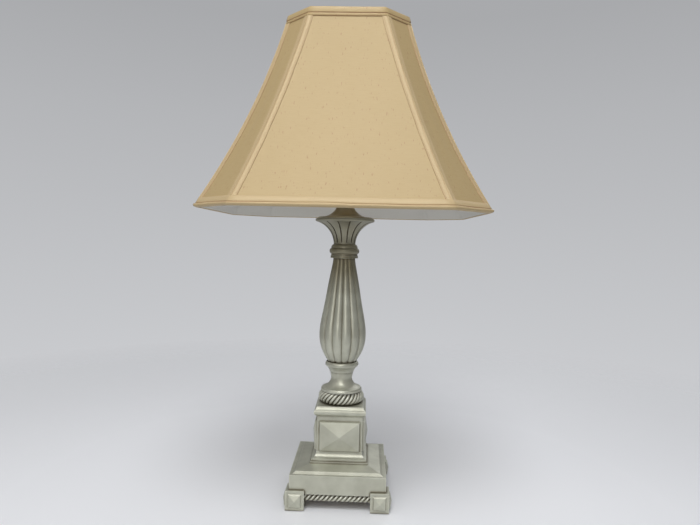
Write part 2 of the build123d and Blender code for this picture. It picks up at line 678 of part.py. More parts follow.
lip_foot = capital_top - CAPITAL_LIP_RISE
lip_foot_radius = CAPITAL_RIM_RADIUS - CAPITAL_LIP_TUCK
lip_top_radius = CAPITAL_RIM_RADIUS - CAPITAL_LIP_ROUND
capital_curve = collar_top + CAPITAL_CURVE_RISE
groove_start = CAPITAL_NECK_RADIUS - CAPITAL_GROOVE_DEPTH
groove_foot = collar_top + CAPITAL_GROOVE_WIDTH
groove_end = CAPITAL_RIM_RADIUS - CAPITAL_GROOVE_MARGIN
groove_top = lip_foot - CAPITAL_GROOVE_STOP
with BuildPart() as capital:
    with BuildSketch(Plane.XZ):
        with BuildLine():
            Line((pipe_hole, collar_top), (CAPITAL_NECK_RADIUS, collar_top))
            ThreePointArc(
                (CAPITAL_NECK_RADIUS, collar_top),
                (CAPITAL_CURVE_RADIUS, capital_curve),
                (lip_foot_radius, lip_foot),
            )
            ThreePointArc(
                (lip_foot_radius, lip_foot),
                (CAPITAL_RIM_RADIUS, (lip_foot + capital_top) / 2),
                (lip_top_radius, capital_top),
            )
            Polyline((lip_top_radius, capital_top), (pipe_hole, capital_top), (pipe_hole, collar_top))
        make_face()
    revolve(axis=Axis.Z)
    # One groove parts each two leaves and follows the flare of the bell.
    with BuildSketch(Plane.XZ) as groove_strip:
        with BuildLine():
            ThreePointArc(
                (groove_start, groove_foot),
                (CAPITAL_CURVE_RADIUS - CAPITAL_GROOVE_DEPTH, capital_curve + CAPITAL_GROOVE_DEPTH),
                (groove_end, groove_top),
            )
            Polyline(
                (groove_end, groove_top),
                (CAPITAL_RIM_RADIUS, groove_top),
                (CAPITAL_RIM_RADIUS, groove_foot),
                (groove_start, groove_foot),
            )
        make_face()
    groove_cut = extrude(amount=CAPITAL_GROOVE_WIDTH / 2, both=True, mode=Mode.PRIVATE)
    for flute in range(FLUTE_COUNT):
        turned = groove_cut.rotate(Axis.Z, 90 + 360 / FLUTE_COUNT * (flute + 0.5))
        add(turned, mode=Mode.SUBTRACT)
save(capital, "capital")

pan_edge = capital_top + PAN_EDGE_RISE
pan_throat = capital_top + PAN_THROAT_RISE
pan_radius = CAPITAL_RIM_RADIUS - PAN_EDGE_MARGIN
pan_slope_radius = pan_radius - PAN_EDGE_SLOPE
with BuildPart() as drip_pan:
    with BuildSketch(Plane.XZ):
        with BuildLine():
            Polyline((pipe_hole, capital_top), (pan_radius, capital_top), (pan_slope_radius, pan_edge))
            ThreePointArc(
                (pan_slope_radius, pan_edge),
                (PAN_MIDDLE_RADIUS, capital_top + PAN_MIDDLE_RISE),
                (PAN_THROAT_RADIUS, pan_throat),
            )
            Polyline(
                (PAN_THROAT_RADIUS, pan_throat),
                (PAN_TOP_RADIUS, pan_top),
                (pipe_hole, pan_top),
                (pipe_hole, capital_top),
            )
        make_face()
    revolve(axis=Axis.Z)
save(drip_pan, "drip_pan")

# ---------------------------------------------------------------- pipe and its fasteners
washer_top = weight_foot
washer_foot = washer_top - WASHER_THICKNESS
lock_foot = washer_foot - LOCK_WASHER_THICKNESS
nut_foot = lock_foot - NUT_THICKNESS
pipe_foot = nut_foot - PIPE_BOTTOM_STICKOUT
pipe_top = cap_dome_foot - SEAT_GAP
with BuildPart() as threaded_pipe:
    with BuildSketch(Plane.XY.offset(pipe_foot)):
        Circle(PIPE_RADIUS)
        Circle(PIPE_BORE_RADIUS, mode=Mode.SUBTRACT)
    extrude(amount=pipe_top - pipe_foot)
save(threaded_pipe, "threaded_pipe")

with BuildPart() as bottom_washer:
    with BuildSketch(Plane.XY.offset(washer_foot)):
        Circle(WASHER_RADIUS)
        Circle(pipe_hole, mode=Mode.SUBTRACT)
    extrude(amount=WASHER_THICKNESS)
save(bottom_washer, "bottom_washer")

with BuildPart() as lock_washer:
    with BuildSketch(Plane.XY.offset(lock_foot)):
        Circle(LOCK_WASHER_RADIUS)
        Circle(pipe_hole, mode=Mode.SUBTRACT)
        with Locations((LOCK_WASHER_RADIUS, 0)):
            Rectangle(2 * LOCK_WASHER_RADIUS, LOCK_WASHER_THICKNESS, mode=Mode.SUBTRACT)
    extrude(amount=LOCK_WASHER_THICKNESS)
save(lock_washer, "lock_washer")

with BuildPart() as pipe_nut:
    with BuildSketch(Plane.XY.offset(nut_foot)):
        RegularPolygon(NUT_FLATS / 2, 6, major_radius=False)
        Circle(PIPE_RADIUS + RUNNING_GAP, mode=Mode.SUBTRACT)
    extrude(amount=NUT_THICKNESS)
save(pipe_nut, "pipe_nut")

with BuildPart() as seating_ring:
    with BuildSketch(Plane.XY.offset(pan_top)):
        Circle(SEAT_RING_RADIUS)
        Circle(pipe_hole, mode=Mode.SUBTRACT)
    extrude(amount=SEAT_RING_THICKNESS)
save(seating_ring, "seating_ring")

# ---------------------------------------------------------------- harp saddle
with BuildPart() as harp_saddle:
    with BuildSketch(Plane.XY.offset(seat_top)):
        Rectangle(2 * SADDLE_SHELF, SADDLE_WIDTH)
        Circle(pipe_hole, mode=Mode.SUBTRACT)
    extrude(amount=SADDLE_THICKNESS)
    with BuildSketch(Plane.XY.offset(saddle_top)):
        with Locations((ear_inner + SADDLE_THICKNESS / 2, 0), (-ear_inner - SADDLE_THICKNESS / 2, 0)):
            Rectangle(SADDLE_THICKNESS, EAR_WIDTH)
    extrude(amount=EAR_HEIGHT)
save(harp_saddle, "harp_saddle")

# ---------------------------------------------------------------- socket
with BuildPart() as socket_cap:
    with BuildSketch(Plane.XZ):
        with BuildLine():
            Polyline(
                (PIPE_RADIUS + RUNNING_GAP, saddle_top),
                (CAP_NECK_RADIUS, saddle_top),
                (CAP_NECK_RADIUS, cap_dome_foot),
            )
            RadiusArc((CAP_NECK_RADIUS, cap_dome_foot), (SOCKET_RADIUS, shell_foot), -CAP_DOME_RISE)
            Line((SOCKET_RADIUS, shell_foot), (SOCKET_RADIUS - SOCKET_WALL, shell_foot))
            RadiusArc(
                (SOCKET_RADIUS - SOCKET_WALL, shell_foot),
                (CAP_NECK_RADIUS - SOCKET_WALL, cap_dome_foot + SOCKET_WALL),
                CAP_DOME_RISE,
            )
            Polyline(
                (CAP_NECK_RADIUS - SOCKET_WALL, cap_dome_foot + SOCKET_WALL),
                (PIPE_RADIUS + RUNNING_GAP, cap_dome_foot + SOCKET_WALL),
                (PIPE_RADIUS + RUNNING_GAP, saddle_top),
            )
        make_face()
    revolve(axis=Axis.Z)
    with BuildSketch(Plane.YZ.offset(PIPE_RADIUS)):
        with Locations((0, saddle_top + CAP_NECK_RISE / 2)):
            Circle(SET_SCREW_RADIUS + RUNNING_GAP)
    extrude(amount=CAP_NECK_RADIUS, mode=Mode.SUBTRACT)
save(socket_cap, "socket_cap")

set_screw_start = PIPE_RADIUS + RUNNING_GAP
with BuildPart() as cap_set_screw:
    with BuildSketch(Plane.YZ.offset(set_screw_start)):
        with Locations((0, saddle_top + CAP_NECK_RISE / 2)):
            Circle(SET_SCREW_RADIUS)
    extrude(amount=SET_SCREW_LENGTH)
    with BuildSketch(Plane.YZ.offset(set_screw_start + SET_SCREW_LENGTH)):
        with Locations((0, saddle_top + CAP_NECK_RISE / 2)):
            Rectangle(2 * SET_SCREW_RADIUS + SEAT_GAP, SET_SCREW_SLOT_WIDTH)
    extrude(amount=-SET_SCREW_SLOT_DEPTH, mode=Mode.SUBTRACT)
save(cap_set_screw, "cap_set_screw")

knob_height = shell_foot + SWITCH_BLOCK_RISE / 2
shell_inner = SOCKET_RADIUS - SOCKET_WALL
with BuildPart() as socket_shell:
    with BuildSketch(Plane.XY.offset(shell_foot + SEAT_GAP)):
        Circle(SOCKET_RADIUS)
        Circle(shell_inner, mode=Mode.SUBTRACT)
    extrude(amount=SHELL_RISE - SEAT_GAP)
    with BuildSketch(Plane.XZ):
        with Locations((0, knob_height)):
            Circle(KNOB_SHAFT_RADIUS + MOVING_GAP)
    extrude(amount=SOCKET_RADIUS + MOVING_GAP, mode=Mode.SUBTRACT)
save(socket_shell, "socket_shell")

liner_outer = shell_inner - SEAT_GAP
liner_inner = liner_outer - LINER_THICKNESS
with BuildPart() as insulating_liner:
    with BuildSketch(Plane.XY.offset(shell_foot + SEAT_GAP)):
        Circle(liner_outer)
        Circle(liner_inner, mode=Mode.SUBTRACT)
    extrude(amount=SHELL_RISE - 2 * SEAT_GAP)
    with BuildSketch(Plane.XZ):
        with Locations((0, knob_height)):
            Circle(KNOB_SHAFT_RADIUS + MOVING_GAP)
    extrude(amount=SOCKET_RADIUS + MOVING_GAP, mode=Mode.SUBTRACT)
save(insulating_liner, "insulating_liner")

block_radius = liner_inner - SEAT_GAP
shaft_inner = block_radius - KNOB_SHAFT_LENGTH / 2
terminal_height = shell_foot + SWITCH_BLOCK_RISE / 3
with BuildPart() as switch_block:
    with BuildSketch(Plane.XY.offset(shell_foot)):
        Circle(block_radius)
    extrude(amount=SWITCH_BLOCK_RISE)
    with BuildSketch(Plane.XZ.offset(shaft_inner)):
        with Locations((0, knob_height)):
            Circle(KNOB_SHAFT_RADIUS + RUNNING_GAP)
    extrude(amount=block_radius, mode=Mode.SUBTRACT)
    with BuildSketch(Plane.YZ.offset(block_radius - TERMINAL_SCREW_LENGTH)):
        with Locations((0, terminal_height)):
            Circle(TERMINAL_SCREW_RADIUS + SEAT_GAP)
    extrude(amount=TERMINAL_SCREW_LENGTH, mode=Mode.SUBTRACT)
    with BuildSketch(Plane.YZ.offset(-block_radius)):
        with Locations((0, terminal_height)):
            Circle(TERMINAL_SCREW_RADIUS + SEAT_GAP)
    extrude(amount=TERMINAL_SCREW_LENGTH, mode=Mode.SUBTRACT)
save(switch_block, "switch_block")

with BuildPart() as terminal_screws:
    for side in (-1, 1):
        with BuildSketch(Plane.YZ.offset(side * (block_radius - TERMINAL_SCREW_LENGTH))):
            with Locations((0, terminal_height)):
                Circle(TERMINAL_SCREW_RADIUS)
        extrude(amount=side * (TERMINAL_SCREW_LENGTH - TERMINAL_SCREW_SINK))
save(terminal_screws, "terminal_screws")

shell_bore = BULB_BASE_RADIUS + MOVING_GAP
with BuildPart() as screw_shell:
    with BuildSketch(Plane.XY.offset(block_top)):
        Circle(shell_bore + SCREW_SHELL_WALL)
        Circle(shell_bore, mode=Mode.SUBTRACT)
    extrude(amount=SCREW_SHELL_RISE - SEAT_GAP)
save(screw_shell, "screw_shell")

with BuildPart() as centre_contact:
    with BuildSketch(Plane.XY.offset(block_top)):
        Circle(CONTACT_RADIUS)
    extrude(amount=CONTACT_RISE)
    fillet(centre_contact.edges().group_by(Axis.Z)[-1], radius=CONTACT_RISE / 3)
save(centre_contact, "centre_contact")

# ---------------------------------------------------------------- switch knob, turns on its shaft
shaft_outer = SOCKET_RADIUS + KNOB_STANDOFF
with BuildPart() as switch_shaft:
    with BuildSketch(Plane.XZ.offset(shaft_inner + MOVING_GAP)):
        with Locations((0, knob_height)):
            Circle(KNOB_SHAFT_RADIUS)
    extrude(amount=shaft_outer + KNOB_SOCKET_DEPTH - shaft_inner - MOVING_GAP)
save(switch_shaft, "switch_shaft")

with BuildPart() as switch_knob:
    with BuildSketch(Plane.XZ.offset(shaft_outer)):
        with Locations((0, knob_height)):
            Circle(KNOB_RADIUS)
            with PolarLocations(KNOB_RADIUS, KNOB_GRIPS):
                Circle(KNOB_GRIP_RADIUS, mode=Mode.SUBTRACT)
    extrude(amount=KNOB_LENGTH)
    with BuildSketch(Plane.XZ.offset(shaft_outer)):
        with Locations((0, knob_height)):
            Circle(KNOB_SHAFT_RADIUS + SEAT_GAP / 2)
    extrude(amount=KNOB_SOCKET_DEPTH + SEAT_GAP, mode=Mode.SUBTRACT)
save(switch_knob, "switch_knob")

# ---------------------------------------------------------------- bulb
with BuildPart() as bulb_base:
    with BuildSketch(Plane.XZ):
        with BuildLine():
            Polyline(
                (0, bulb_tip),
                (BULB_TIP_RADIUS, bulb_tip),
                (BULB_TIP_RADIUS + BULB_TIP_FLARE, bulb_base_foot - BULB_TIP_EDGE),
                (BULB_BASE_RADIUS - BULB_BASE_BEVEL, bulb_base_foot),
                (BULB_BASE_RADIUS, bulb_base_foot + BULB_BASE_BEVEL),
                (BULB_BASE_RADIUS, bulb_base_top),
                (0, bulb_base_top),
                (0, bulb_tip),
            )
        make_face()
    revolve(axis=Axis.Z)
save(bulb_base, "bulb_base")

bulb_centre = bulb_top - BULB_RADIUS
bulb_neck = BULB_BASE_RADIUS + BULB_NECK_STEP
bulb_neck_top = bulb_base_top + BULB_NECK_RISE
tangent_height = bulb_centre - BULB_RADIUS * math.sin(math.radians(BULB_TANGENT_ANGLE))
tangent_radius = BULB_RADIUS * math.cos(math.radians(BULB_TANGENT_ANGLE))


def bulb_profile(inset):
    """Half section of the bulb's outline, drawn in by an inset; its foot is open to the base."""
    share = (BULB_RADIUS - inset) / BULB_RADIUS
    with BuildSketch(Plane.XZ) as profile:
        with BuildLine():
            Polyline(
                (0, bulb_base_top),
                (bulb_neck - inset, bulb_base_top),
                (bulb_neck + BULB_NECK_FLARE - inset, bulb_neck_top),
            )
            ThreePointArc(
                (bulb_neck + BULB_NECK_FLARE - inset, bulb_neck_top),
                (bulb_neck + BULB_SHOULDER_FLARE - inset, bulb_base_top + BULB_SHOULDER_RISE),
                (tangent_radius * share, bulb_centre - (bulb_centre - tangent_height) * share),
            )
            ThreePointArc(
                (tangent_radius * share, bulb_centre - (bulb_centre - tangent_height) * share),
                (BULB_RADIUS - inset, bulb_centre),
                (0, bulb_top - inset),
            )
            Line((0, bulb_top - inset), (0, bulb_base_top))
        make_face()
    return profile.sketch


with BuildPart() as bulb_glass:
    revolve(bulb_profile(0), axis=Axis.Z)
    revolve(bulb_profile(BULB_WALL), axis=Axis.Z, mode=Mode.SUBTRACT)
save(bulb_glass, "bulb_glass")

# ---------------------------------------------------------------- harp, ferrules and stud
harp_points = [
    (leg_offset, harp_foot),
    (leg_offset, harp_foot + HARP_STRAIGHT),
    (HARP_HALF_WIDTH, harp_foot + HARP_BULGE_START),
    (HARP_HALF_WIDTH, harp_foot + HARP_BULGE_END),
    (HARP_TOP_HALF_WIDTH, harp_wire_top),
    (-HARP_TOP_HALF_WIDTH, harp_wire_top),
    (-HARP_HALF_WIDTH, harp_foot + HARP_BULGE_END),
    (-HARP_HALF_WIDTH, harp_foot + HARP_BULGE_START),
    (-leg_offset, harp_foot + HARP_STRAIGHT),
    (-leg_offset, harp_foot),
]
harp_fillets = [
    HARP_BULGE_FILLET,
    HARP_BULGE_FILLET,
    HARP_FLANK_FILLET,
    HARP_TOP_FILLET,
    HARP_TOP_FILLET,
    HARP_FLANK_FILLET,
    HARP_BULGE_FILLET,
    HARP_BULGE_FILLET,
]
stud_hole = STUD_SHANK_RADIUS + RUNNING_GAP
with BuildPart() as harp:
    with BuildLine(Plane.XZ):
        FilletPolyline(*harp_points, radius=harp_fillets)
    with BuildSketch(Plane.XY.offset(harp_foot)):
        with Locations((leg_offset, 0)):
            Circle(HARP_WIRE_RADIUS)
    sweep()
    with BuildSketch(Plane.XY.offset(harp_wire_top - HARP_EYE_THICKNESS / 2)):
        Circle(HARP_EYE_RADIUS)
    extrude(amount=HARP_EYE_THICKNESS)
    with BuildSketch(Plane.XY.offset(harp_wire_top - HARP_EYE_RADIUS)):
        Circle(stud_hole)
    extrude(amount=2 * HARP_EYE_RADIUS, mode=Mode.SUBTRACT)
    with BuildSketch(Plane.XY.offset(eye_top)):
        Circle(STUD_SHOULDER_RADIUS + MOVING_GAP)
    extrude(amount=HARP_EYE_THICKNESS, mode=Mode.SUBTRACT)
    with BuildSketch(Plane.XY.offset(harp_wire_top - HARP_EYE_THICKNESS / 2)):
        Circle(STUD_HEAD_RADIUS + MOVING_GAP)
    extrude(amount=-HARP_EYE_THICKNESS, mode=Mode.SUBTRACT)
save(harp, "harp")

ferrule_foot = shelf_height + MOVING_GAP
for side_name, side in (("left", -1), ("right", 1)):
    with BuildPart() as ferrule:
        with BuildSketch(Plane.XY.offset(ferrule_foot)):
            with Locations((side * ferrule_centre, 0)):
                Circle(ferrule_bore + FERRULE_WALL)
                Circle(ferrule_bore, mode=Mode.SUBTRACT)
        extrude(amount=FERRULE_HEIGHT)
    save(ferrule, f"ferrule_{side_name}")

eye_foot = harp_wire_top - HARP_EYE_THICKNESS / 2
with BuildPart() as harp_stud:
    with BuildSketch(Plane.XY.offset(eye_foot - MOVING_GAP)):
        Circle(STUD_HEAD_RADIUS)
    extrude(amount=-STUD_HEAD_THICKNESS)
    with BuildSketch(Plane.XY.offset(eye_foot - MOVING_GAP)):
        Circle(STUD_SHANK_RADIUS)
    extrude(amount=shoulder_foot - eye_foot + MOVING_GAP)
    with BuildSketch(Plane.XY.offset(shoulder_foot)):
        Circle(STUD_SHOULDER_RADIUS)
    extrude(amount=STUD_SHOULDER_THICKNESS)
    with BuildSketch(Plane.XY.offset(shoulder_top)):
        Circle(STUD_THREAD_RADIUS)
    extrude(amount=STUD_THREAD_LENGTH)
    chamfer(harp_stud.edges().group_by(Axis.Z)[-1], length=STUD_CHAMFER)
save(harp_stud, "harp_stud")

finial_neck = finial_foot + FINIAL_FLANGE_THICKNESS + FINIAL_NECK_RISE
ball_centre = finial_neck + math.sqrt(FINIAL_BALL_RADIUS**2 - FINIAL_NECK_RADIUS**2)
tip_foot = ball_centre + math.sqrt(FINIAL_BALL_RADIUS**2 - FINIAL_TIP_RADIUS**2)
finial_top = tip_foot + FINIAL_TIP_RISE
thread_bore = STUD_THREAD_RADIUS + RUNNING_GAP
flange_top = finial_foot + FINIAL_FLANGE_THICKNESS
with BuildPart() as finial:
    with BuildSketch(Plane.XZ):
        with BuildLine():
            Line((0, finial_foot), (FINIAL_FLANGE_RADIUS, finial_foot))
            Line((FINIAL_FLANGE_RADIUS, finial_foot), (FINIAL_FLANGE_RADIUS, flange_top))
            Line((FINIAL_FLANGE_RADIUS, flange_top), (FINIAL_NECK_RADIUS, finial_neck))
            ThreePointArc(
                (FINIAL_NECK_RADIUS, finial_neck),
                (FINIAL_BALL_RADIUS, ball_centre),
                (FINIAL_TIP_RADIUS, tip_foot),
            )
            Polyline(
                (FINIAL_TIP_RADIUS, tip_foot),
                (FINIAL_POINT_RADIUS, finial_top),
                (0, finial_top),
                (0, finial_foot),
            )
        make_face()
    revolve(axis=Axis.Z)
    with BuildSketch(Plane.XY.offset(finial_foot)):
        Circle(thread_bore)
    extrude(amount=stud_top + MOVING_GAP - finial_foot, mode=Mode.SUBTRACT)
save(finial, "finial")


# ---------------------------------------------------------------- shade
class Rib:
    """One of the eight frame ribs: an arc from the bottom ring to the top ring, and its own plane."""

    def __init__(self, bottom, top, sag):
        self.bottom = Vector(bottom[0], bottom[1], shade_bottom)
        self.top = Vector(top[0], top[1], shade_top)
        middle = (self.bottom + self.top) * 0.5 + Vector(sag[0], sag[1], 0)
        along = self.top - self.bottom
        self.length = along.length
        normal = along.cross(middle - self.bottom)
        self.plane = Plane(origin=self.bottom, x_dir=along, z_dir=normal)
        local = self.plane.to_local_coords(middle)
        half = self.length / 2
        drop = local.Y + (local.X - half) ** 2 / (2 * self.length)
        self.radius = (half**2 + drop**2) / (2 * drop)
        self.centre = (half, drop - self.radius)

    def point(self, share, inward):
        """Local point at a share of the chord from the bottom, moved inward in the rib's plane."""
        x = self.length * share
        y = self.centre[1] + math.sqrt(self.radius**2 - (x - self.centre[0]) ** 2)
        return (x, y + inward)

    def strip(self, low, high, outer, inner):
        """Thin face in the rib's plane between two shares of the chord and two depths."""
        middle = (low + high) / 2
        with BuildSketch(self.plane) as face:
            with BuildLine():
                ThreePointArc(self.point(low, outer), self.point(middle, outer), self.point(high, outer))
                Line(self.point(high, outer), self.point(high, inner))
                ThreePointArc(self.point(high, inner), self.point(middle, inner), self.point(low, inner))
                Line(self.point(low, inner), self.point(low, outer))
            make_face()
        return face.sketch

    def world(self, share, inward):
        """Point in the lamp's frame."""
        x, y = self.point(share, inward)
        return self.plane.from_local_coords(Vector(x, y, 0))

    def share_at(self, height, inward):
        """Share of the chord at which the rib, moved inward, stands at a height."""
        share = (height - shade_bottom) / SHADE_HEIGHT
        for _ in range(3):
            share += (height - self.world(share, inward).Z) / SHADE_HEIGHT
        return share


def shade_corners(width, depth, cut):
    """Corners of a rectangle with cut corners, anticlockwise from the front right."""
    half_w, half_d = width / 2, depth / 2
    return [
        (half_w - cut, -half_d),
        (half_w, -half_d + cut),
        (half_w, half_d - cut),
        (half_w - cut, half_d),
        (-half_w + cut, half_d),
        (-half_w, half_d - cut),
        (-half_w, -half_d + cut),
        (-half_w + cut, -half_d),
    ]


def make_ribs():
    """The eight ribs, each bowed towards the column."""
    bottoms = shade_corners(SHADE_BOTTOM_WIDTH, SHADE_BOTTOM_DEPTH, SHADE_BOTTOM_CUT)
    tops = shade_corners(SHADE_TOP_WIDTH, SHADE_TOP_DEPTH, SHADE_TOP_CUT)
    made = []
    for index, (bottom, top) in enumerate(zip(bottoms, tops)):
        on_front_or_back = index in (0, 3, 4, 7)
        sag_x = RIB_SAG_ALONG if on_front_or_back else RIB_SAG_ACROSS
        sag_y = RIB_SAG_ACROSS if on_front_or_back else RIB_SAG_ALONG
        sag = (-math.copysign(sag_x, bottom[0]), -math.copysign(sag_y, bottom[1]))
        made.append(Rib(bottom, top, sag))
    return made


ribs = make_ribs()
# A rib's plane stands at most 45 degrees off either panel beside it, so depths grow by this much.
mitre = math.sqrt(2)
frame_depth = FABRIC_THICKNESS + (CLOTH_GAP + FRAME_WIRE_RADIUS) * mitre
lining_depth = frame_depth + (FRAME_WIRE_RADIUS + CLOTH_GAP) * mitre
ring_inset = FRAME_WIRE_RADIUS + CLOTH_GAP


def span(first, low, high, outer, inner):
    """Cloth or trim stretched straight from one rib to the next."""
    second = (first + 1) % len(ribs)
    loft([ribs[place].strip(low, high, outer, inner) for place in (first, second)], ruled=True)


panel_names = [
    "corner_panel_front_right",
    "side_panel_right",
    "corner_panel_back_right",
    "back_panel",
    "corner_panel_back_left",
    "side_panel_left",
    "corner_panel_front_left",
    "front_panel",
]
for index, panel_name in enumerate(panel_names):
    with BuildPart() as shade_panel:
        span(index, 0, 1, 0, FABRIC_THICKNESS)
    save(shade_panel, panel_name)

lining_inner = lining_depth + FABRIC_THICKNESS
lining_low = ribs[0].share_at(shade_bottom, lining_inner)
lining_high = ribs[0].share_at(shade_top - LINING_DROP, lining_depth)
with BuildPart() as shade_lining:
    for index in range(len(ribs)):
        span(index, lining_low, lining_high, lining_depth, lining_inner)
save(shade_lining, "shade_lining")

with BuildPart() as top_trim:
    for index in range(len(ribs)):
        span(index, 1 - TOP_TRIM_WIDTH / ribs[index].length, 1, -TRIM_THICKNESS - CLOTH_GAP, -CLOTH_GAP)
save(top_trim, "top_trim")

with BuildPart() as bottom_trim:
    for index in range(len(ribs)):
        span(index, 0, BOTTOM_TRIM_WIDTH / ribs[index].length, -TRIM_THICKNESS - CLOTH_GAP, -CLOTH_GAP)
save(bottom_trim, "bottom_trim")

with BuildPart() as rib_trims:
    for index, rib in enumerate(ribs):
        for neighbour in (ribs[index - 1], ribs[(index + 1) % len(ribs)]):
            low = (BOTTOM_TRIM_WIDTH + TRIM_END_GAP) / rib.length
            high = 1 - (TOP_TRIM_WIDTH + TRIM_END_GAP) / rib.length
            sideways = (neighbour.bottom - rib.bottom).normalized()
            strip = rib.strip(low, high, -TRIM_THICKNESS - CLOTH_GAP, -CLOTH_GAP)
            extrude(strip, amount=RIB_TRIM_HALF_WIDTH, dir=sideways)
save(rib_trims, "rib_trims")


def ring_corners(height):
    """Corners of a level wire ring on the ribs' centre lines."""
    corners = []
    for rib in ribs:
        on_rib = rib.world(rib.share_at(height, frame_depth), frame_depth)
        corners.append(Vector(on_rib.X, on_rib.Y, height))
    return corners


def wire_ring(height):
    """Closed wire through eight corners, started half way along one side."""
    corners = ring_corners(height)
    start = (corners[0] + corners[-1]) * 0.5
    with BuildLine() as path:
        Polyline(start, *corners, close=True)
    with BuildSketch(Plane(origin=start, z_dir=corners[0] - corners[-1])) as section:
        Circle(FRAME_WIRE_RADIUS)
    sweep(section.sketch, path=path.line, transition=Transition.RIGHT)


def rib_wire(rib):
    """Bowed wire from the bottom ring to the top ring."""
    low = rib.share_at(shade_bottom + ring_inset, frame_depth)
    high = rib.share_at(top_ring_height, frame_depth)
    with BuildLine(rib.plane) as path:
        ThreePointArc(*[rib.point(share, frame_depth) for share in (low, (low + high) / 2, high)])
    with BuildSketch(Plane(origin=path.line @ 0, z_dir=path.line % 0)) as section:
        Circle(FRAME_WIRE_RADIUS)
    sweep(section.sketch, path=path.line)


top_ring_height = shade_top - ring_inset
with BuildPart() as top_ring_wire:
    wire_ring(top_ring_height)
save(top_ring_wire, "top_ring_wire")

with BuildPart() as bottom_ring_wire:
    wire_ring(shade_bottom + ring_inset)
save(bottom_ring_wire, "bottom_ring_wire")

with BuildPart() as rib_wires:
    for rib in ribs:
        rib_wire(rib)
save(rib_wires, "rib_wires")

hub_hole = STUD_THREAD_RADIUS + MOVING_GAP
with BuildPart() as spider_hub:
    with BuildSketch(Plane.XY.offset(hub_foot)):
        Circle(SPIDER_HUB_RADIUS)
        Circle(hub_hole, mode=Mode.SUBTRACT)
    extrude(amount=SPIDER_HUB_THICKNESS)
save(spider_hub, "spider_hub")

top_corners = ring_corners(top_ring_height)
ring_half_width = max(corner.X for corner in top_corners)
ring_half_depth = max(corner.Y for corner in top_corners)
arm_height = hub_foot + SPIDER_HUB_THICKNESS / 2
arm_start = SPIDER_HUB_RADIUS - SPIDER_EMBED


def spider_arm(plane, reach):
    """Wire arm from the hub, level at first and then up to the top ring."""
    with BuildLine(plane) as path:
        FilletPolyline(
            (arm_start, arm_height),
            (SPIDER_FLAT, arm_height),
            (reach, top_ring_height),
            radius=SPIDER_BEND_RADIUS,
        )
    with BuildSketch(Plane(origin=path.line @ 0, z_dir=path.line % 0)) as section:
        Circle(SPIDER_WIRE_RADIUS)
    sweep(section.sketch, path=path.line)


with BuildPart() as spider_arms:
    for turn, reach in enumerate((ring_half_width, ring_half_depth) * 2):
        angle = math.radians(90 * turn)
        sideways = (math.cos(angle), math.sin(angle), 0)
        spider_arm(Plane(origin=(0, 0, 0), x_dir=sideways, z_dir=(sideways[1], -sideways[0], 0)), reach)
save(spider_arms, "spider_arms")
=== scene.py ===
# %% [markdown]
# # A candlestick lamp, dressed in Blender
# The CAD model of this lamp is already exact: every solid has its real size and place. This lesson
# loads it as a fixed frame and gives it its looks. We put a camera and soft lights round it, mix the
# paints, metals and cloths, carve the twisted ropes and sew the silk shade. All lengths are in
# metres, so a millimetre has a name of its own.

# %% Load the frame
import math
import random

import bpy
from mathutils import Matrix, Vector


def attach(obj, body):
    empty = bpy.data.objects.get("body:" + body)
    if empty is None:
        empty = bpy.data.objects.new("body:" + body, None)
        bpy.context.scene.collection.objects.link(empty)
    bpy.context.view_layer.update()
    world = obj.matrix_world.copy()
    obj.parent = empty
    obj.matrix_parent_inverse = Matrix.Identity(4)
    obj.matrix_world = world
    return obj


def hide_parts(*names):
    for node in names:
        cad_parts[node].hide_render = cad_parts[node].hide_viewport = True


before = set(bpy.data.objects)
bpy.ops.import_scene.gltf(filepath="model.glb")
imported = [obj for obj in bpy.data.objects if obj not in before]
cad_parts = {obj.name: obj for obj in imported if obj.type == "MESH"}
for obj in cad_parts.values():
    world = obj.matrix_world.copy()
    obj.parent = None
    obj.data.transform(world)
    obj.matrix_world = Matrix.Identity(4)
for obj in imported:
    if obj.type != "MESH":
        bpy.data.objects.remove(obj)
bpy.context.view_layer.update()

MM = 0.001

# %% [markdown]
# ## The camera
# The photograph was taken from the front, a little above half height, with a slight lean. A camera
# was fitted to the corners of the plinth, the cap and the shade, which gave its place, its three
# turns and its focal length. The order of the turns matters: first round the upright axis, then
# nodding, then rolling, so the script multiplies the three rotation matrices in that order.

# %% Camera
CAMERA_PLACE = Vector((36.7, -964.7, 427.5)) * MM
CAMERA_YAW, CAMERA_PITCH, CAMERA_ROLL = math.radians(1.59), math.radians(-2.04), math.radians(1.3)
PHOTO_WIDTH = 700
FOCAL_PIXELS = 568.2
SENSOR_WIDTH = 36.0


def deselect_all():
    """Leave edit mode and select nothing, so that an operator meets only what it is meant to."""
    if bpy.context.object and bpy.context.object.mode != "OBJECT":
        bpy.ops.object.mode_set(mode="OBJECT")
    bpy.ops.object.select_all(action="DESELECT")


deselect_all()
bpy.ops.object.camera_add(location=CAMERA_PLACE)
camera = bpy.context.object
camera.name = "camera"
turns = (
    Matrix.Rotation(CAMERA_ROLL, 3, "Y")
    @ Matrix.Rotation(-CAMERA_PITCH, 3, "X")
    @ Matrix.Rotation(-CAMERA_YAW, 3, "Z")
)
rightward, forward, upward = turns.row
facing = Matrix((rightward, upward, -forward)).transposed().to_4x4()
camera.matrix_world = Matrix.Translation(CAMERA_PLACE) @ facing
camera.data.sensor_width = SENSOR_WIDTH
camera.data.lens = FOCAL_PIXELS / PHOTO_WIDTH * SENSOR_WIDTH
camera.data.clip_start, camera.data.clip_end = 0.01, 100
bpy.context.scene.camera = camera
print("lens in millimetres:", round(camera.data.lens, 1))

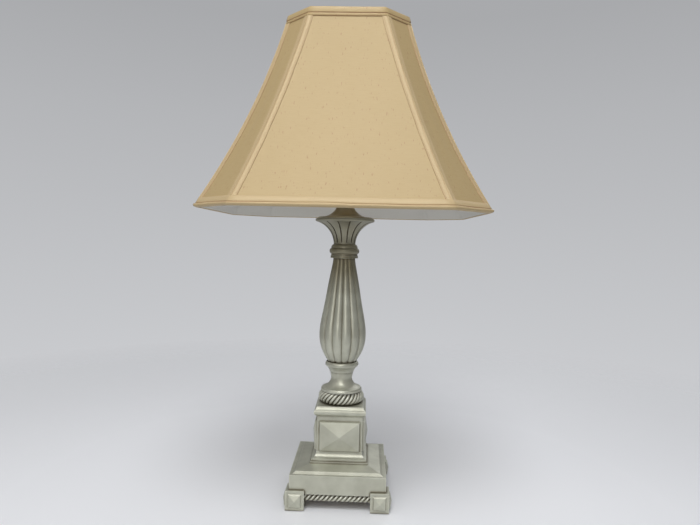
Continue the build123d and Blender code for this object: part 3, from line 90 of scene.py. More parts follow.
# %% [markdown]
# ## The studio
# A pale floor and large soft lamps are what a small product studio has. The backdrop is the world
# itself, so nothing stands behind the lamp when the camera walks round it. The floor grows thinner
# with distance until it is clear, and the backdrop has the floor's tone below the horizon, so the
# one passes into the other with no edge. The view transform is set to Standard, because then a
# colour mixed here is the colour seen.

# %% Floor
FLOOR_RADIUS = 1.6
bpy.context.scene.view_settings.view_transform = "Standard"
deselect_all()
bpy.ops.mesh.primitive_circle_add(vertices=96, radius=FLOOR_RADIUS, fill_type="NGON")
floor = bpy.context.object
floor.name = "studio_floor"
print("floor radius in metres:", FLOOR_RADIUS)

# %% [markdown]
# ## Helpers for node materials
# A material is a tree of nodes, wired socket to socket. These short functions each add one node, so
# that the recipes further down read like sums: mix two colours, multiply two values, or map one
# range of values onto another.

# %% Node helpers
def new_material(name):
    """A new node material, with its node tree and its Principled shader."""
    made = bpy.data.materials.new(name)
    made.use_nodes = True
    tree = made.node_tree
    return made, tree, tree.nodes["Principled BSDF"]


def put(tree, kind, settings=None, **inputs):
    """A new node. Settings are its own options; inputs are constants, or sockets to link from."""
    node = tree.nodes.new(kind)
    for key, value in (settings or {}).items():
        setattr(node, key, value)
    for key, value in inputs.items():
        name = key.replace("_", " ")
        socket = node.inputs[int(key[1:])] if key[0] == "i" and key[1:].isdigit() else node.inputs[name]
        if isinstance(value, bpy.types.NodeSocket):
            tree.links.new(value, socket)
        else:
            socket.default_value = value
    return node


def mix_colours(tree, share, low, high):
    """The colour between two others at a share, as a socket."""
    node = put(tree, "ShaderNodeMix", {"data_type": "RGBA"}, i0=share)
    for place, value in ((6, low), (7, high)):
        if isinstance(value, bpy.types.NodeSocket):
            tree.links.new(value, node.inputs[place])
        else:
            node.inputs[place].default_value = (*value, 1)
    return node.outputs[2]


def calculate(tree, operation, *values, clamp=False):
    """A math node's result as a socket."""
    node = tree.nodes.new("ShaderNodeMath")
    node.operation, node.use_clamp = operation, clamp
    for place, value in enumerate(values):
        if isinstance(value, bpy.types.NodeSocket):
            tree.links.new(value, node.inputs[place])
        else:
            node.inputs[place].default_value = value
    return node.outputs[0]


def remap(tree, value, low, high, to_low=0.0, to_high=1.0):
    """A value mapped from one range to another and clamped there, as a socket."""
    node = put(tree, "ShaderNodeMapRange", {"clamp": True})
    tree.links.new(value, node.inputs["Value"])
    for name, number in (("From Min", low), ("From Max", high), ("To Min", to_low), ("To Max", to_high)):
        node.inputs[name].default_value = number
    return node.outputs[0]


# %% [markdown]
# The floor's paint is near white, with slow drifts of tone. Its Alpha falls with the distance from
# the lamp, so the floor has no edge that shows.

# %% Floor paint
FLOOR_FADE_FROM, FLOOR_FADE_TO = 0.55, 0.97 * FLOOR_RADIUS
FLOOR_DARK, FLOOR_LIGHT = (0.81, 0.82, 0.85), (0.83, 0.84, 0.87)
floor_paint, tree, shader = new_material("studio_floor_paint")
place = put(tree, "ShaderNodeTexCoord")
reach = put(tree, "ShaderNodeVectorMath", {"operation": "LENGTH"})
tree.links.new(place.outputs["Object"], reach.inputs[0])
solid = remap(tree, reach.outputs["Value"], FLOOR_FADE_FROM, FLOOR_FADE_TO, 1.0, 0.0)
tree.links.new(solid, shader.inputs["Alpha"])
drift = put(tree, "ShaderNodeTexNoise", Vector=place.outputs["Object"], Scale=1.5, Detail=2.0)
near_white = mix_colours(tree, drift.outputs[0], FLOOR_DARK, FLOOR_LIGHT)
tree.links.new(near_white, shader.inputs["Base Color"])
shader.inputs["Roughness"].default_value = 0.6
floor.data.materials.append(floor_paint)
print("the floor fades out from", FLOOR_FADE_FROM, "to", FLOOR_FADE_TO)

# %% [markdown]
# The backdrop is a sweep of greys by the height of the view, lightest low down, where it takes the
# floor's tone. Only the camera sees it. Every other ray meets one plain dim light, so the sweep can
# follow the photograph without changing how the lamp is lit.

# %% World
AMBIENT, AMBIENT_COLOUR = 0.27, (0.98, 0.99, 1.0, 1)
BACKDROP_TINT = (0.985, 1.0, 1.035)
SWEEP_REACH = 0.5
# share of the way up the sweep, tone
TONES = [
    (0.0, 0.72), (0.15, 0.665), (0.23, 0.62), (0.35, 0.58),
    (0.44, 0.55), (0.57, 0.505), (0.71, 0.46), (0.86, 0.40),
]
world = bpy.data.worlds.new("studio")
bpy.context.scene.world = world
world.use_nodes = True
tree = world.node_tree
tree.nodes.clear()
aim = put(tree, "ShaderNodeTexCoord")
height = put(tree, "ShaderNodeSeparateXYZ", Vector=aim.outputs["Generated"]).outputs["Z"]
sweep = put(tree, "ShaderNodeValToRGB", Fac=remap(tree, height, -SWEEP_REACH, SWEEP_REACH))
while len(sweep.color_ramp.elements) < len(TONES):
    sweep.color_ramp.elements.new(1.0)
for stop, (position, tone) in zip(sweep.color_ramp.elements, TONES):
    stop.position = position
    stop.color = (*(tint * tone for tint in BACKDROP_TINT), 1)
seen = put(tree, "ShaderNodeBackground", Color=sweep.outputs["Color"], Strength=1.0)
ambient = put(tree, "ShaderNodeBackground", Color=AMBIENT_COLOUR, Strength=AMBIENT)
rays = put(tree, "ShaderNodeLightPath")
either = tree.nodes.new("ShaderNodeMixShader")
tree.links.new(rays.outputs["Is Camera Ray"], either.inputs[0])
tree.links.new(ambient.outputs[0], either.inputs[1])
tree.links.new(seen.outputs[0], either.inputs[2])
out = tree.nodes.new("ShaderNodeOutputWorld")
tree.links.new(either.outputs[0], out.inputs["Surface"])
print("world nodes:", len(tree.nodes))

# %% [markdown]
# Six soft lamps do the work. The window light and the front light above it give the paint its satin
# glow and fill the shade. A weak key light on the left sends the soft shadow to the right. The
# ceiling and overhead lights brighten the table and every edge that looks up, and one behind keeps
# the far side readable.

# %% Lights
# name, place, size, watts, colour
LIGHTS = [
    ("window_light", (-0.5, -2.6, 1.0), 1.5, 14, (1.0, 0.985, 0.96)),
    ("front_light", (-0.2, -1.9, 1.9), 1.0, 10, (1.0, 0.985, 0.96)),
    ("key_light", (-1.5, -1.1, 1.9), 0.9, 4, (1.0, 0.98, 0.95)),
    ("ceiling_light", (0.0, -1.1, 2.4), 1.3, 26, (0.98, 0.985, 1.0)),
    ("overhead_light", (0.1, -0.35, 2.5), 1.3, 6, (0.98, 0.985, 1.0)),
    ("back_light", (0.9, 2.1, 1.6), 1.5, 9, (0.97, 0.98, 1.0)),
]
LIGHT_TARGET = Vector((0, 0, 0.38))
for name, spot, size, watts, colour in LIGHTS:
    deselect_all()
    bpy.ops.object.light_add(type="AREA", location=spot)
    light = bpy.context.object
    light.name = name
    light.data.shape, light.data.size = "DISK", size
    light.data.energy, light.data.color = watts, colour
    light.rotation_euler = (LIGHT_TARGET - Vector(spot)).to_track_quat("-Z", "Y").to_euler()
    print(name, watts, "watts")

# %% [markdown]
# ## Shared effects as node groups
# Paint wears off where hands rub it and dirt stays where they can't reach. Both are measured from
# the shape: a Bevel node bends the normal only near an edge, and Ambient Occlusion is dark only in
# a hollow. A third mask says how far a face looks up. The paint uses it for a painted highlight, so
# that rubbed edges shine more where they face the lamps above. Built once as a group, the masks
# serve every painted or metal piece.

# %% Group for worn edges and filled hollows
def new_group(name, inputs, outputs):
    """An empty shader group with named sockets. Inputs are (name, kind, value)."""
    group = bpy.data.node_groups.new(name, "ShaderNodeTree")
    for title, kind, value in inputs:
        socket = group.interface.new_socket(title, in_out="INPUT", socket_type=kind)
        if value is not None:
            socket.default_value = value
    for title, kind in outputs:
        group.interface.new_socket(title, in_out="OUTPUT", socket_type=kind)
    return group, group.nodes.new("NodeGroupInput").outputs, group.nodes.new("NodeGroupOutput").inputs


def use_group(tree, group, **inputs):
    """Place a group in a material."""
    node = tree.nodes.new("ShaderNodeGroup")
    node.node_tree = group
    for key, value in inputs.items():
        socket = node.inputs[key.replace("_", " ")]
        if isinstance(value, bpy.types.NodeSocket):
            tree.links.new(value, socket)
        else:
            socket.default_value = value
    return node.outputs


FLOAT, VECTOR = "NodeSocketFloat", "NodeSocketVector"
# cosine between the bent normal and the true one: where wear begins, and where it is full
BENT_FROM, BENT_FULL = 0.998, 0.93
# share of open sky: a hollow fills as it falls, and an edge counts only as it rises
HOLLOW_FROM, HOLLOW_FULL = 0.94, 0.60
OPEN_FROM, OPEN_FULL = 0.72, 0.93
# upward part of the normal
UPWARD_FROM, UPWARD_FULL = -0.35, 0.55
wear_group, given, result = new_group(
    "edges_and_hollows",
    [("Edge Width", FLOAT, 0.7 * MM), ("Hollow Reach", FLOAT, 6 * MM)],
    [("Edge", FLOAT), ("Hollow", FLOAT), ("Upward", FLOAT)],
)
softened = put(wear_group, "ShaderNodeBevel", {"samples": 6}, Radius=given["Edge Width"])
surface = put(wear_group, "ShaderNodeNewGeometry")
agree = put(wear_group, "ShaderNodeVectorMath", {"operation": "DOT_PRODUCT"})
wear_group.links.new(softened.outputs[0], agree.inputs[0])
wear_group.links.new(surface.outputs["Normal"], agree.inputs[1])
turned = remap(wear_group, agree.outputs["Value"], BENT_FROM, BENT_FULL)
shut_in = put(wear_group, "ShaderNodeAmbientOcclusion", {"samples": 8}, Distance=given["Hollow Reach"])
hollow = remap(wear_group, shut_in.outputs["AO"], HOLLOW_FROM, HOLLOW_FULL)
in_the_open = remap(wear_group, shut_in.outputs["AO"], OPEN_FROM, OPEN_FULL)
edge = calculate(wear_group, "MULTIPLY", turned, in_the_open)
wear_group.links.new(edge, result["Edge"])
wear_group.links.new(hollow, result["Hollow"])
tilt = put(wear_group, "ShaderNodeSeparateXYZ", Vector=surface.outputs["Normal"]).outputs["Z"]
wear_group.links.new(remap(wear_group, tilt, UPWARD_FROM, UPWARD_FULL), result["Upward"])
print("group:", wear_group.name, len(wear_group.nodes), "nodes")

# %% [markdown]
# Brushed-on paint and cast metal are never even. This group gives two kinds of unevenness from
# Object coordinates: slow clouds, for colour, and a fine grain, for the bump and the gloss.

# %% Group for clouds and grain
grain_group, given, result = new_group(
    "clouds_and_grain",
    [("Vector", VECTOR, None), ("Cloud Scale", FLOAT, 30.0), ("Grain Scale", FLOAT, 900.0)],
    [("Clouds", FLOAT), ("Grain", FLOAT)],
)
place = given["Vector"]
clouds = put(grain_group, "ShaderNodeTexNoise", Vector=place, Scale=given["Cloud Scale"], Detail=4.0)
grain = put(grain_group, "ShaderNodeTexNoise", Vector=place, Scale=given["Grain Scale"], Detail=2.0)
grain_group.links.new(clouds.outputs[0], result["Clouds"])
grain_group.links.new(grain.outputs[0], result["Grain"])
print("group:", grain_group.name, len(grain_group.nodes), "nodes")

# %% [markdown]
# ## The painted finish
# The body is cast resin under a silver-champagne paint. A brown-olive wash was brushed over it and
# wiped off again, so it stays in the grooves, and the raised edges were rubbed bright. High on the
# column, thickest round the collar, the paint is also browner and darker. This is partly the wash and
# partly a painted shade where the lampshade keeps the light off. The material follows the same
# steps: paint, browning and painted shade by height, wash in the hollows, bright edges, with a
# painted highlight where they face up. Ropes carry an attribute that says how far a point stands
# out on its strand, and it takes the place of the edge mask there. Some Metallic gives the satin of
# metallic paint.

# %% Painted materials
# heights in metres where the brown begins, is thickest, and has eased to AGE_AND_SHADE_LEFT of
# that. The brown is partly the wash and partly painted shade under the lampshade.
AGE_AND_SHADE_FROM, AGE_AND_SHADE_MOST, AGE_AND_SHADE_EASED = 0.33, 0.385, 0.44
AGE_AND_SHADE_LEFT = 0.7
PAINT_CLOUDS, PAINT_GRAIN = 38.0, 1100.0
RUBBED_WIDTH, WASH_REACH = 1.2 * MM, 4.5 * MM
# roughness of the paint, and what the wash adds to it
GLOSS_LOW, GLOSS_HIGH, WASH_MATT = 0.36, 0.45, 0.25
# how much of the rubbed brightness and its painted highlight an underside keeps
UNDERSIDE_SHARE = 0.2
# every point of a rope carries at least this much crest, which tells rope from the rest
CREST_LEAST = 0.02


def painted(name, light, dark, aged_and_shaded, wash, bright, metallic, age_and_shade_share):
    """Metallic paint, browner and in painted shade high up, with a hollow wash and rubbed edges with a
    painted highlight.
    """
    made, tree, shader = new_material(name)
    place = put(tree, "ShaderNodeTexCoord").outputs["Object"]
    uneven = use_group(tree, grain_group, Vector=place, Cloud_Scale=PAINT_CLOUDS, Grain_Scale=PAINT_GRAIN)
    worn = use_group(tree, wear_group, Edge_Width=RUBBED_WIDTH, Hollow_Reach=WASH_REACH)
    base = mix_colours(tree, remap(tree, uneven["Clouds"], 0.35, 0.65), dark, light)
    height = put(tree, "ShaderNodeSeparateXYZ", Vector=place).outputs["Z"]
    brushed = calculate(tree, "ADD", uneven["Clouds"], 0.5)
    # browning by height: partly the wash, partly a painted shade where the lampshade keeps light off
    risen = remap(tree, height, AGE_AND_SHADE_FROM, AGE_AND_SHADE_MOST, 0.0, age_and_shade_share)
    easing = remap(tree, height, AGE_AND_SHADE_MOST, AGE_AND_SHADE_EASED, 1.0, AGE_AND_SHADE_LEFT)
    eased = calculate(tree, "MULTIPLY", risen, easing)
    age_and_shade = calculate(tree, "MULTIPLY", eased, brushed, clamp=True)
    browned_and_shaded = mix_colours(tree, age_and_shade, base, aged_and_shaded)
    streaks = remap(tree, uneven["Clouds"], 0.75, 0.3, 0.6, 1.0)
    in_hollows = calculate(tree, "MULTIPLY", worn["Hollow"], streaks)
    washed = mix_colours(tree, in_hollows, browned_and_shaded, wash)
    crest = put(tree, "ShaderNodeAttribute", {"attribute_name": "crest"}).outputs["Fac"]
    is_rope = calculate(tree, "MULTIPLY", crest, 1 / CREST_LEAST, clamp=True)
    not_rope = calculate(tree, "SUBTRACT", 1.0, is_rope)
    rubbed = calculate(tree, "MAXIMUM", calculate(tree, "MULTIPLY", worn["Edge"], not_rope), crest)
    # painted highlight: rubbed edges and crests are brighter where they face up, toward the lamps
    lit_from_above = remap(tree, worn["Upward"], 0.0, 1.0, UNDERSIDE_SHARE, 1.0)
    rubbed_and_lit = calculate(tree, "MULTIPLY", rubbed, lit_from_above)
    tree.links.new(mix_colours(tree, rubbed_and_lit, washed, bright), shader.inputs["Base Color"])
    gloss = remap(tree, uneven["Grain"], 0.3, 0.7, GLOSS_LOW, GLOSS_HIGH)
    dulled = calculate(tree, "MULTIPLY", in_hollows, WASH_MATT)
    matt = calculate(tree, "ADD", gloss, dulled, clamp=True)
    tree.links.new(matt, shader.inputs["Roughness"])
    shader.inputs["Metallic"].default_value = metallic
    bump = put(tree, "ShaderNodeBump", Strength=0.2, Distance=0.1 * MM, Height=uneven["Grain"])
    tree.links.new(bump.outputs[0], shader.inputs["Normal"])
    print("painted:", name)
    return made


champagne = painted(
    "champagne_paint",
    light=(0.51, 0.515, 0.43),
    dark=(0.42, 0.42, 0.345),
    aged_and_shaded=(0.20, 0.175, 0.108),
    wash=(0.115, 0.09, 0.048),
    bright=(0.80, 0.81, 0.72),
    metallic=0.5,
    age_and_shade_share=0.95,
)
# a darker, browner copy of the paint. On the drip pan under the lampshade the extra darkness is partly
# painted shade from the lampshade, and the brown is partly the piece's own tone
antique_and_shaded = painted(
    "antique_and_shaded_champagne_paint",
    light=(0.35, 0.285, 0.165),
    dark=(0.24, 0.19, 0.105),
    aged_and_shaded=(0.30, 0.245, 0.14),
    wash=(0.10, 0.075, 0.038),
    bright=(0.46, 0.42, 0.30),
    metallic=0.5,
    age_and_shade_share=0.5,
)

# %% [markdown]
# ## Metals and small parts
# The harp, the socket and the hardware are bare metal, with fine marks and a faint tarnish in the
# corners. One function serves them all, with its own colours for brass, steel, iron and aluminium.

# %% Metal materials
EDGE_GAIN = 1.25


def metal(name, light, dark, rough_low, rough_high, metallic=1.0, grain_scale=700.0):
    """Bare or plated metal with slow tarnish and a fine grain."""
    made, tree, shader = new_material(name)
    place = put(tree, "ShaderNodeTexCoord").outputs["Object"]
    uneven = use_group(tree, grain_group, Vector=place, Cloud_Scale=55.0, Grain_Scale=grain_scale)
    worn = use_group(tree, wear_group, Edge_Width=0.4 * MM, Hollow_Reach=3 * MM)
    patches = remap(tree, uneven["Clouds"], 0.5, 0.75, 0, 0.6)
    tarnish = calculate(tree, "MAXIMUM", worn["Hollow"], patches)
    base = mix_colours(tree, tarnish, light, dark)
    bright = [min(1, EDGE_GAIN * part) for part in light]
    tree.links.new(mix_colours(tree, worn["Edge"], base, bright), shader.inputs["Base Color"])
    roughness = remap(tree, uneven["Grain"], 0.25, 0.75, rough_low, rough_high)
    tree.links.new(roughness, shader.inputs["Roughness"])
    shader.inputs["Metallic"].default_value = metallic
    bump = put(tree, "ShaderNodeBump", Strength=0.15, Distance=0.05 * MM, Height=uneven["Grain"])
    tree.links.new(bump.outputs[0], shader.inputs["Normal"])
    print("metal:", name)
    return made


brass = metal("lacquered_brass", (0.72, 0.52, 0.22), (0.42, 0.28, 0.11), 0.22, 0.36)
steel = metal("zinc_plated_steel", (0.60, 0.60, 0.58), (0.36, 0.35, 0.33), 0.28, 0.45)
iron = metal("cast_iron", (0.09, 0.09, 0.095), (0.045, 0.042, 0.04), 0.55, 0.75, 0.6, 350.0)
aluminium = metal("rolled_aluminium", (0.74, 0.75, 0.76), (0.50, 0.50, 0.50), 0.25, 0.40)

# %% [markdown]
# Felt, board, fibre, plastic and the frosted glass share a simpler recipe: clouds and grain mottle
# the colour, and the grain alone gives the relief.

# %% Plain small materials
ROUGHNESS_SPREAD = 0.06


def plain(name, light, dark, roughness, grain_scale, bump_depth, sheen=0.0):
    """A matt or satin material with clouds, grain and bump: felt, board, fibre or plastic."""
    made, tree, shader = new_material(name)
    place = put(tree, "ShaderNodeTexCoord").outputs["Object"]
    uneven = use_group(tree, grain_group, Vector=place, Cloud_Scale=60.0, Grain_Scale=grain_scale)
    fine = calculate(tree, "MULTIPLY", uneven["Grain"], 0.6)
    mottled = calculate(tree, "ADD", uneven["Clouds"], fine)
    colour = mix_colours(tree, remap(tree, mottled, 0.55, 1.05), dark, light)
    tree.links.new(colour, shader.inputs["Base Color"])
    low, high = max(0, roughness - ROUGHNESS_SPREAD), min(1, roughness + ROUGHNESS_SPREAD)
    tree.links.new(remap(tree, uneven["Grain"], 0.3, 0.7, low, high), shader.inputs["Roughness"])
    shader.inputs["Sheen Weight"].default_value = sheen
    bump = put(tree, "ShaderNodeBump", Strength=0.4, Distance=bump_depth, Height=uneven["Grain"])
    tree.links.new(bump.outputs[0], shader.inputs["Normal"])
    print("plain:", name)
    return made


felt = plain("brown_felt", (0.13, 0.10, 0.075), (0.07, 0.052, 0.038), 0.92, 1600.0, 0.3 * MM, 0.5)
board = plain("pressed_board", (0.26, 0.17, 0.09), (0.16, 0.10, 0.05), 0.75, 700.0, 0.15 * MM)
bushing = plain("bushing_plastic", (0.035, 0.032, 0.03), (0.025, 0.023, 0.022), 0.45, 1200.0, 0.03 * MM)
fibre = plain("liner_fibre", (0.40, 0.36, 0.30), (0.28, 0.25, 0.20), 0.85, 1000.0, 0.12 * MM)
phenolic = plain("black_phenolic", (0.028, 0.024, 0.02), (0.018, 0.016, 0.014), 0.32, 900.0, 0.02 * MM)
glass = plain("frosted_bulb", (0.86, 0.86, 0.84), (0.82, 0.82, 0.80), 0.36, 2200.0, 0.01 * MM)

# %% [markdown]
# ## Give the CAD nodes their materials
# Every node carries the name of its material slot in the record, and a table from slot to material
# dresses them. The cloth slots are left out, because sewn pieces take those nodes' place below.

# %% Dress the nodes
FINISHES = {
    "body_finish": champagne,
    "antique_finish": antique_and_shaded,
    "finial_finish": antique_and_shaded,
    "felt": felt,
    "cover_board": board,
    "iron": iron,
    "bushing_plastic": bushing,
    "steel_hardware": steel,
    "brass_hardware": brass,
    "liner_fibre": fibre,
    "switch_phenolic": phenolic,
    "bulb_metal": aluminium,
    "bulb_glass": glass,
}
dressed = 0
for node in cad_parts.values():
    for slot in node.material_slots:
        finish = FINISHES.get(slot.material.name.split(".")[0])
        if finish:
            slot.material = finish
            dressed += 1
print("slots dressed:", dressed)

# %% [markdown]
# ## Twisted ropes
# The ring under the column and the mouldings under the slab are cast as ropes. A rope is its
# cross-section, a few touching circles like a clover leaf, turned as it moves along. The Screw
# modifier does exactly that: it turns the outline and lifts it at the same time. Turning it the
# other way makes the strands lean the other way, and here they lean to the right as they rise.

# %% Rope helper
STRAND_POINTS = 12
# how much of the full depth between two touching strands is cut
GROOVE_DEPTH = 0.75
CREST_GAIN = 0.7
ROPE_SMOOTH = 50


def rope(name, radius, strands, turns, length, steps):
    """A straight left-handed rope that stands on the origin along Z, with a crest attribute."""
    deselect_all()
    bpy.ops.mesh.primitive_circle_add(vertices=strands * STRAND_POINTS, radius=radius, fill_type="NOTHING")
    made = bpy.context.object
    made.name = name
    share = 2 * math.pi / strands
    ratio = 1 / math.sin(share / 2)
    strand = radius / (1 + ratio)
    crest = made.data.attributes.new("crest", "FLOAT", "POINT")
    valley = strand * ratio * math.cos(share / 2)
    for point in made.data.vertices:
        turn = math.atan2(point.co.y, point.co.x)
        off = (turn + share / 2) % share - share / 2
        centre = strand * ratio
        reach = centre * math.cos(off) + math.sqrt(max(0, strand**2 - (centre * math.sin(off)) ** 2))
        proud = (reach - valley) / (radius - valley)
        crest.data[point.index].value = CREST_LEAST + CREST_GAIN * max(0, proud) ** 3
        point.co *= 1 - GROOVE_DEPTH * (1 - reach / radius)
    twist = made.modifiers.new("twist", "SCREW")
    twist.axis, twist.angle, twist.screw_offset = "Z", -2 * math.pi * turns, length
    twist.iterations, twist.steps, twist.render_steps = 1, steps, steps
    bpy.ops.object.modifier_apply(modifier=twist.name)
    return made


def tidy_skin(piece, gap=0.02 * MM):
    """Weld what lies closer than the gap and turn all faces outwards."""
    deselect_all()
    piece.select_set(True)
    bpy.context.view_layer.objects.active = piece
    bpy.ops.object.mode_set(mode="EDIT")
    bpy.ops.mesh.select_all(action="SELECT")
    bpy.ops.mesh.remove_doubles(threshold=gap)
    bpy.ops.mesh.normals_make_consistent(inside=False)
    bpy.ops.object.mode_set(mode="OBJECT")


def finish_piece(piece, material, slot, body, *nodes, angle):
    """Freeze a piece's place into its mesh, smooth and dress it, and let it stand for its nodes."""
    deselect_all()
    piece.select_set(True)
    bpy.context.view_layer.objects.active = piece
    bpy.ops.object.transform_apply(location=True, rotation=True, scale=True)
    bpy.ops.object.shade_smooth_by_angle(angle=math.radians(angle))
    piece.data.materials.clear()
    piece.data.materials.append(material)
    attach(piece, body)
    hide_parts(*nodes)
    print(piece.name, "faces:", len(piece.data.polygons))


# %% [markdown]
# The ring is a straight rope bent into a circle by the Simple Deform modifier. It makes a whole
# number of turns, so the two ends meet strand on strand and can be welded.

# %% Rope ring round the foot of the column
RING_TUBE, RING_RADIUS, RING_HEIGHT = 10.0 * MM, 28.8 * MM, 165.8 * MM
RING_STRANDS, RING_TURNS, RING_STEPS = 5, 6, 180
RING_WELD = 0.05 * MM
ring_length = 2 * math.pi * RING_RADIUS
ring = rope("rope_ring_twist", RING_TUBE, RING_STRANDS, RING_TURNS, ring_length, RING_STEPS)
ring.rotation_euler = (0, math.pi / 2, 0)
ring.location = (-ring_length / 2, 0, 0)
bpy.ops.object.transform_apply(location=True, rotation=True, scale=True)
bend = ring.modifiers.new("bend", "SIMPLE_DEFORM")
bend.deform_method, bend.deform_axis, bend.angle = "BEND", "Z", 2 * math.pi
bpy.ops.object.modifier_apply(modifier=bend.name)
tidy_skin(ring, RING_WELD)
middle = sum((Vector(corner) for corner in ring.bound_box), Vector()) / 8
ring.location = Vector((0, 0, RING_HEIGHT)) - middle
finish_piece(ring, champagne, "body_finish", "lamp_base", "rope_ring", angle=ROPE_SMOOTH)
print("ring box in mm:", [round(v / MM, 1) for v in (*ring.bound_box[0], *ring.bound_box[6])])

# %% [markdown]
# The four straight mouldings are one rope, modelled once and copied. Each copy gets a mesh of its
# own and is turned to its side of the plinth. Each end stops against a foot and is closed by one
# flat face.

# %% Rope mouldings
MOULD_RADIUS, MOULD_LENGTH = 5.7 * MM, 104.8 * MM
MOULD_HEIGHT, MOULD_OFFSET = 18.9 * MM, 71.5 * MM
MOULD_STRANDS, MOULD_TURNS, MOULD_STEPS = 3, 4.8, 116
SAME_HEIGHT = 0.01 * MM


def close_end(piece, height):
    """Close the open loop of points at one height with a face."""
    bpy.ops.object.mode_set(mode="EDIT")
    bpy.ops.mesh.select_mode(type="VERT")
    bpy.ops.mesh.select_all(action="DESELECT")
    bpy.ops.object.mode_set(mode="OBJECT")
    for point in piece.data.vertices:
        point.select = abs(point.co.z - height) < SAME_HEIGHT
    bpy.ops.object.mode_set(mode="EDIT")
    bpy.ops.mesh.edge_face_add()
    bpy.ops.object.mode_set(mode="OBJECT")


first = rope(
    "rope_moulding_front", MOULD_RADIUS, MOULD_STRANDS, MOULD_TURNS, MOULD_LENGTH, MOULD_STEPS
)
close_end(first, 0)
close_end(first, MOULD_LENGTH)
tidy_skin(first)
first.rotation_euler = (0, math.pi / 2, 0)
first.location = (-MOULD_LENGTH / 2, -MOULD_OFFSET, MOULD_HEIGHT)
bpy.ops.object.transform_apply(location=True, rotation=True, scale=True)
for quarter, side in enumerate(("front", "right", "back", "left")):
    piece = first
    if quarter:
        piece = first.copy()
        piece.data = first.data.copy()
        bpy.context.collection.objects.link(piece)
        piece.name = f"rope_moulding_{side}"
        piece.rotation_euler = (0, 0, quarter * math.pi / 2)
    finish_piece(
        piece, champagne, "body_finish", "lamp_base", "rope_mouldings", angle=ROPE_SMOOTH
    )

# %% [markdown]
# ## The shade's frame lines
# The silk is stretched over eight bowed ribs, and every panel runs straight from one rib to the
# next. So the whole shade follows from the eight arcs. This class repeats the CAD model's own arcs,
# in metres, and gives the point at any share of a rib, moved in or out in the rib's plane.

# %% Ribs
SHADE_FOOT, SHADE_HEAD = 476.6 * MM, 789.0 * MM
# width, depth and corner cut of the shade's two outlines, in millimetres
BOTTOM_OUTLINE, TOP_OUTLINE = (445, 363, 64), (191.6, 155.2, 38.4)
# how far a rib's middle is drawn in, square to its wide panel and along it, in millimetres
SAG_SQUARE, SAG_ALONG = 13, 5
FRONT_AND_BACK_RIBS = (0, 3, 4, 7)


class Rib:
    """An arc from the bottom ring to the top ring, bowed towards the column."""

    def __init__(self, foot, head, sag):
        self.foot = Vector((*foot, SHADE_FOOT))
        self.head = Vector((*head, SHADE_HEAD))
        along = self.head - self.foot
        self.length = along.length
        bowed = (self.foot + self.head) / 2 + Vector((*sag, 0)) - self.foot
        self.along = along.normalized()
        self.inward = (bowed - self.along * bowed.dot(self.along)).normalized()
        half = self.length / 2
        across = bowed.dot(self.inward)
        off_middle = bowed.dot(self.along) - half
        drop = across + off_middle**2 / (2 * self.length)
        self.radius = (half**2 + drop**2) / (2 * drop)
        self.middle = drop - self.radius

    def point(self, share, inward):
        """The point at a share of the chord from the bottom, moved inward by a length."""
        x = self.length * share
        y = self.middle + math.sqrt(self.radius**2 - (x - self.length / 2) ** 2)
        return self.foot + self.along * x + self.inward * (y + inward)


def cut_corners(width, depth, cut):
    """The corners of a rectangle with cut corners, anticlockwise from the front right."""
    x, y = width / 2, depth / 2
    quarter = [(x - cut, -y), (x, -y + cut)]
    right = quarter + [(a, -b) for a, b in reversed(quarter)]
    return [(a * MM, b * MM) for a, b in right + [(-a, -b) for a, b in right]]


ribs = []
for index, (foot, head) in enumerate(zip(cut_corners(*BOTTOM_OUTLINE), cut_corners(*TOP_OUTLINE))):
    sag_x, sag_y = SAG_SQUARE, SAG_ALONG
    if index in FRONT_AND_BACK_RIBS:
        sag_x, sag_y = SAG_ALONG, SAG_SQUARE
    sag = (-math.copysign(sag_x, foot[0]) * MM, -math.copysign(sag_y, foot[1]) * MM)
    ribs.append(Rib(foot, head, sag))
print("ribs:", len(ribs), "length in mm:", round(ribs[0].length / MM, 1))


def rib_after(index):
    """The next rib round the shade."""
    return ribs[(index + 1) % len(ribs)]


def side_lengths(corners):
    """The lengths of the shade's sides, from each of its corners to the next, in metres."""
    return [(after - before).length for before, after in zip(corners, corners[1:] + corners[:1])]

# %% [markdown]
# ## Silk
# The cover is a slubbed silk: a plain weave whose thick and thin yarns make short streaks across,
# with tiny reddish flecks where a darker fibre was spun in. Each panel has a UV map in metres, laid
# out flat as it was cut, so the weave keeps its true scale and follows the panel.

# %% Weave group
SLUB_SCALE, FLECK_SCALE = (55.0, 900.0, 1.0), (380.0, 115.0, 1.0)
FLECK_FROM, FLECK_FULL = 0.665, 0.76
weave_group, given, result = new_group(
    "slubbed_weave",
    [("Flat", VECTOR, None), ("Yarn", FLOAT, 0.35 * MM)],
    [("Threads", FLOAT), ("Slubs", FLOAT), ("Flecks", FLOAT)],
)
flat = put(weave_group, "ShaderNodeSeparateXYZ", Vector=given["Flat"])


def ripple(tree, along, pitch):
    """A smooth wave from 0 to 1 along one axis."""
    turn = calculate(tree, "DIVIDE", along, pitch)
    wave = calculate(tree, "SINE", calculate(tree, "MULTIPLY", turn, 2 * math.pi))
    return remap(tree, wave, -1.0, 1.0)


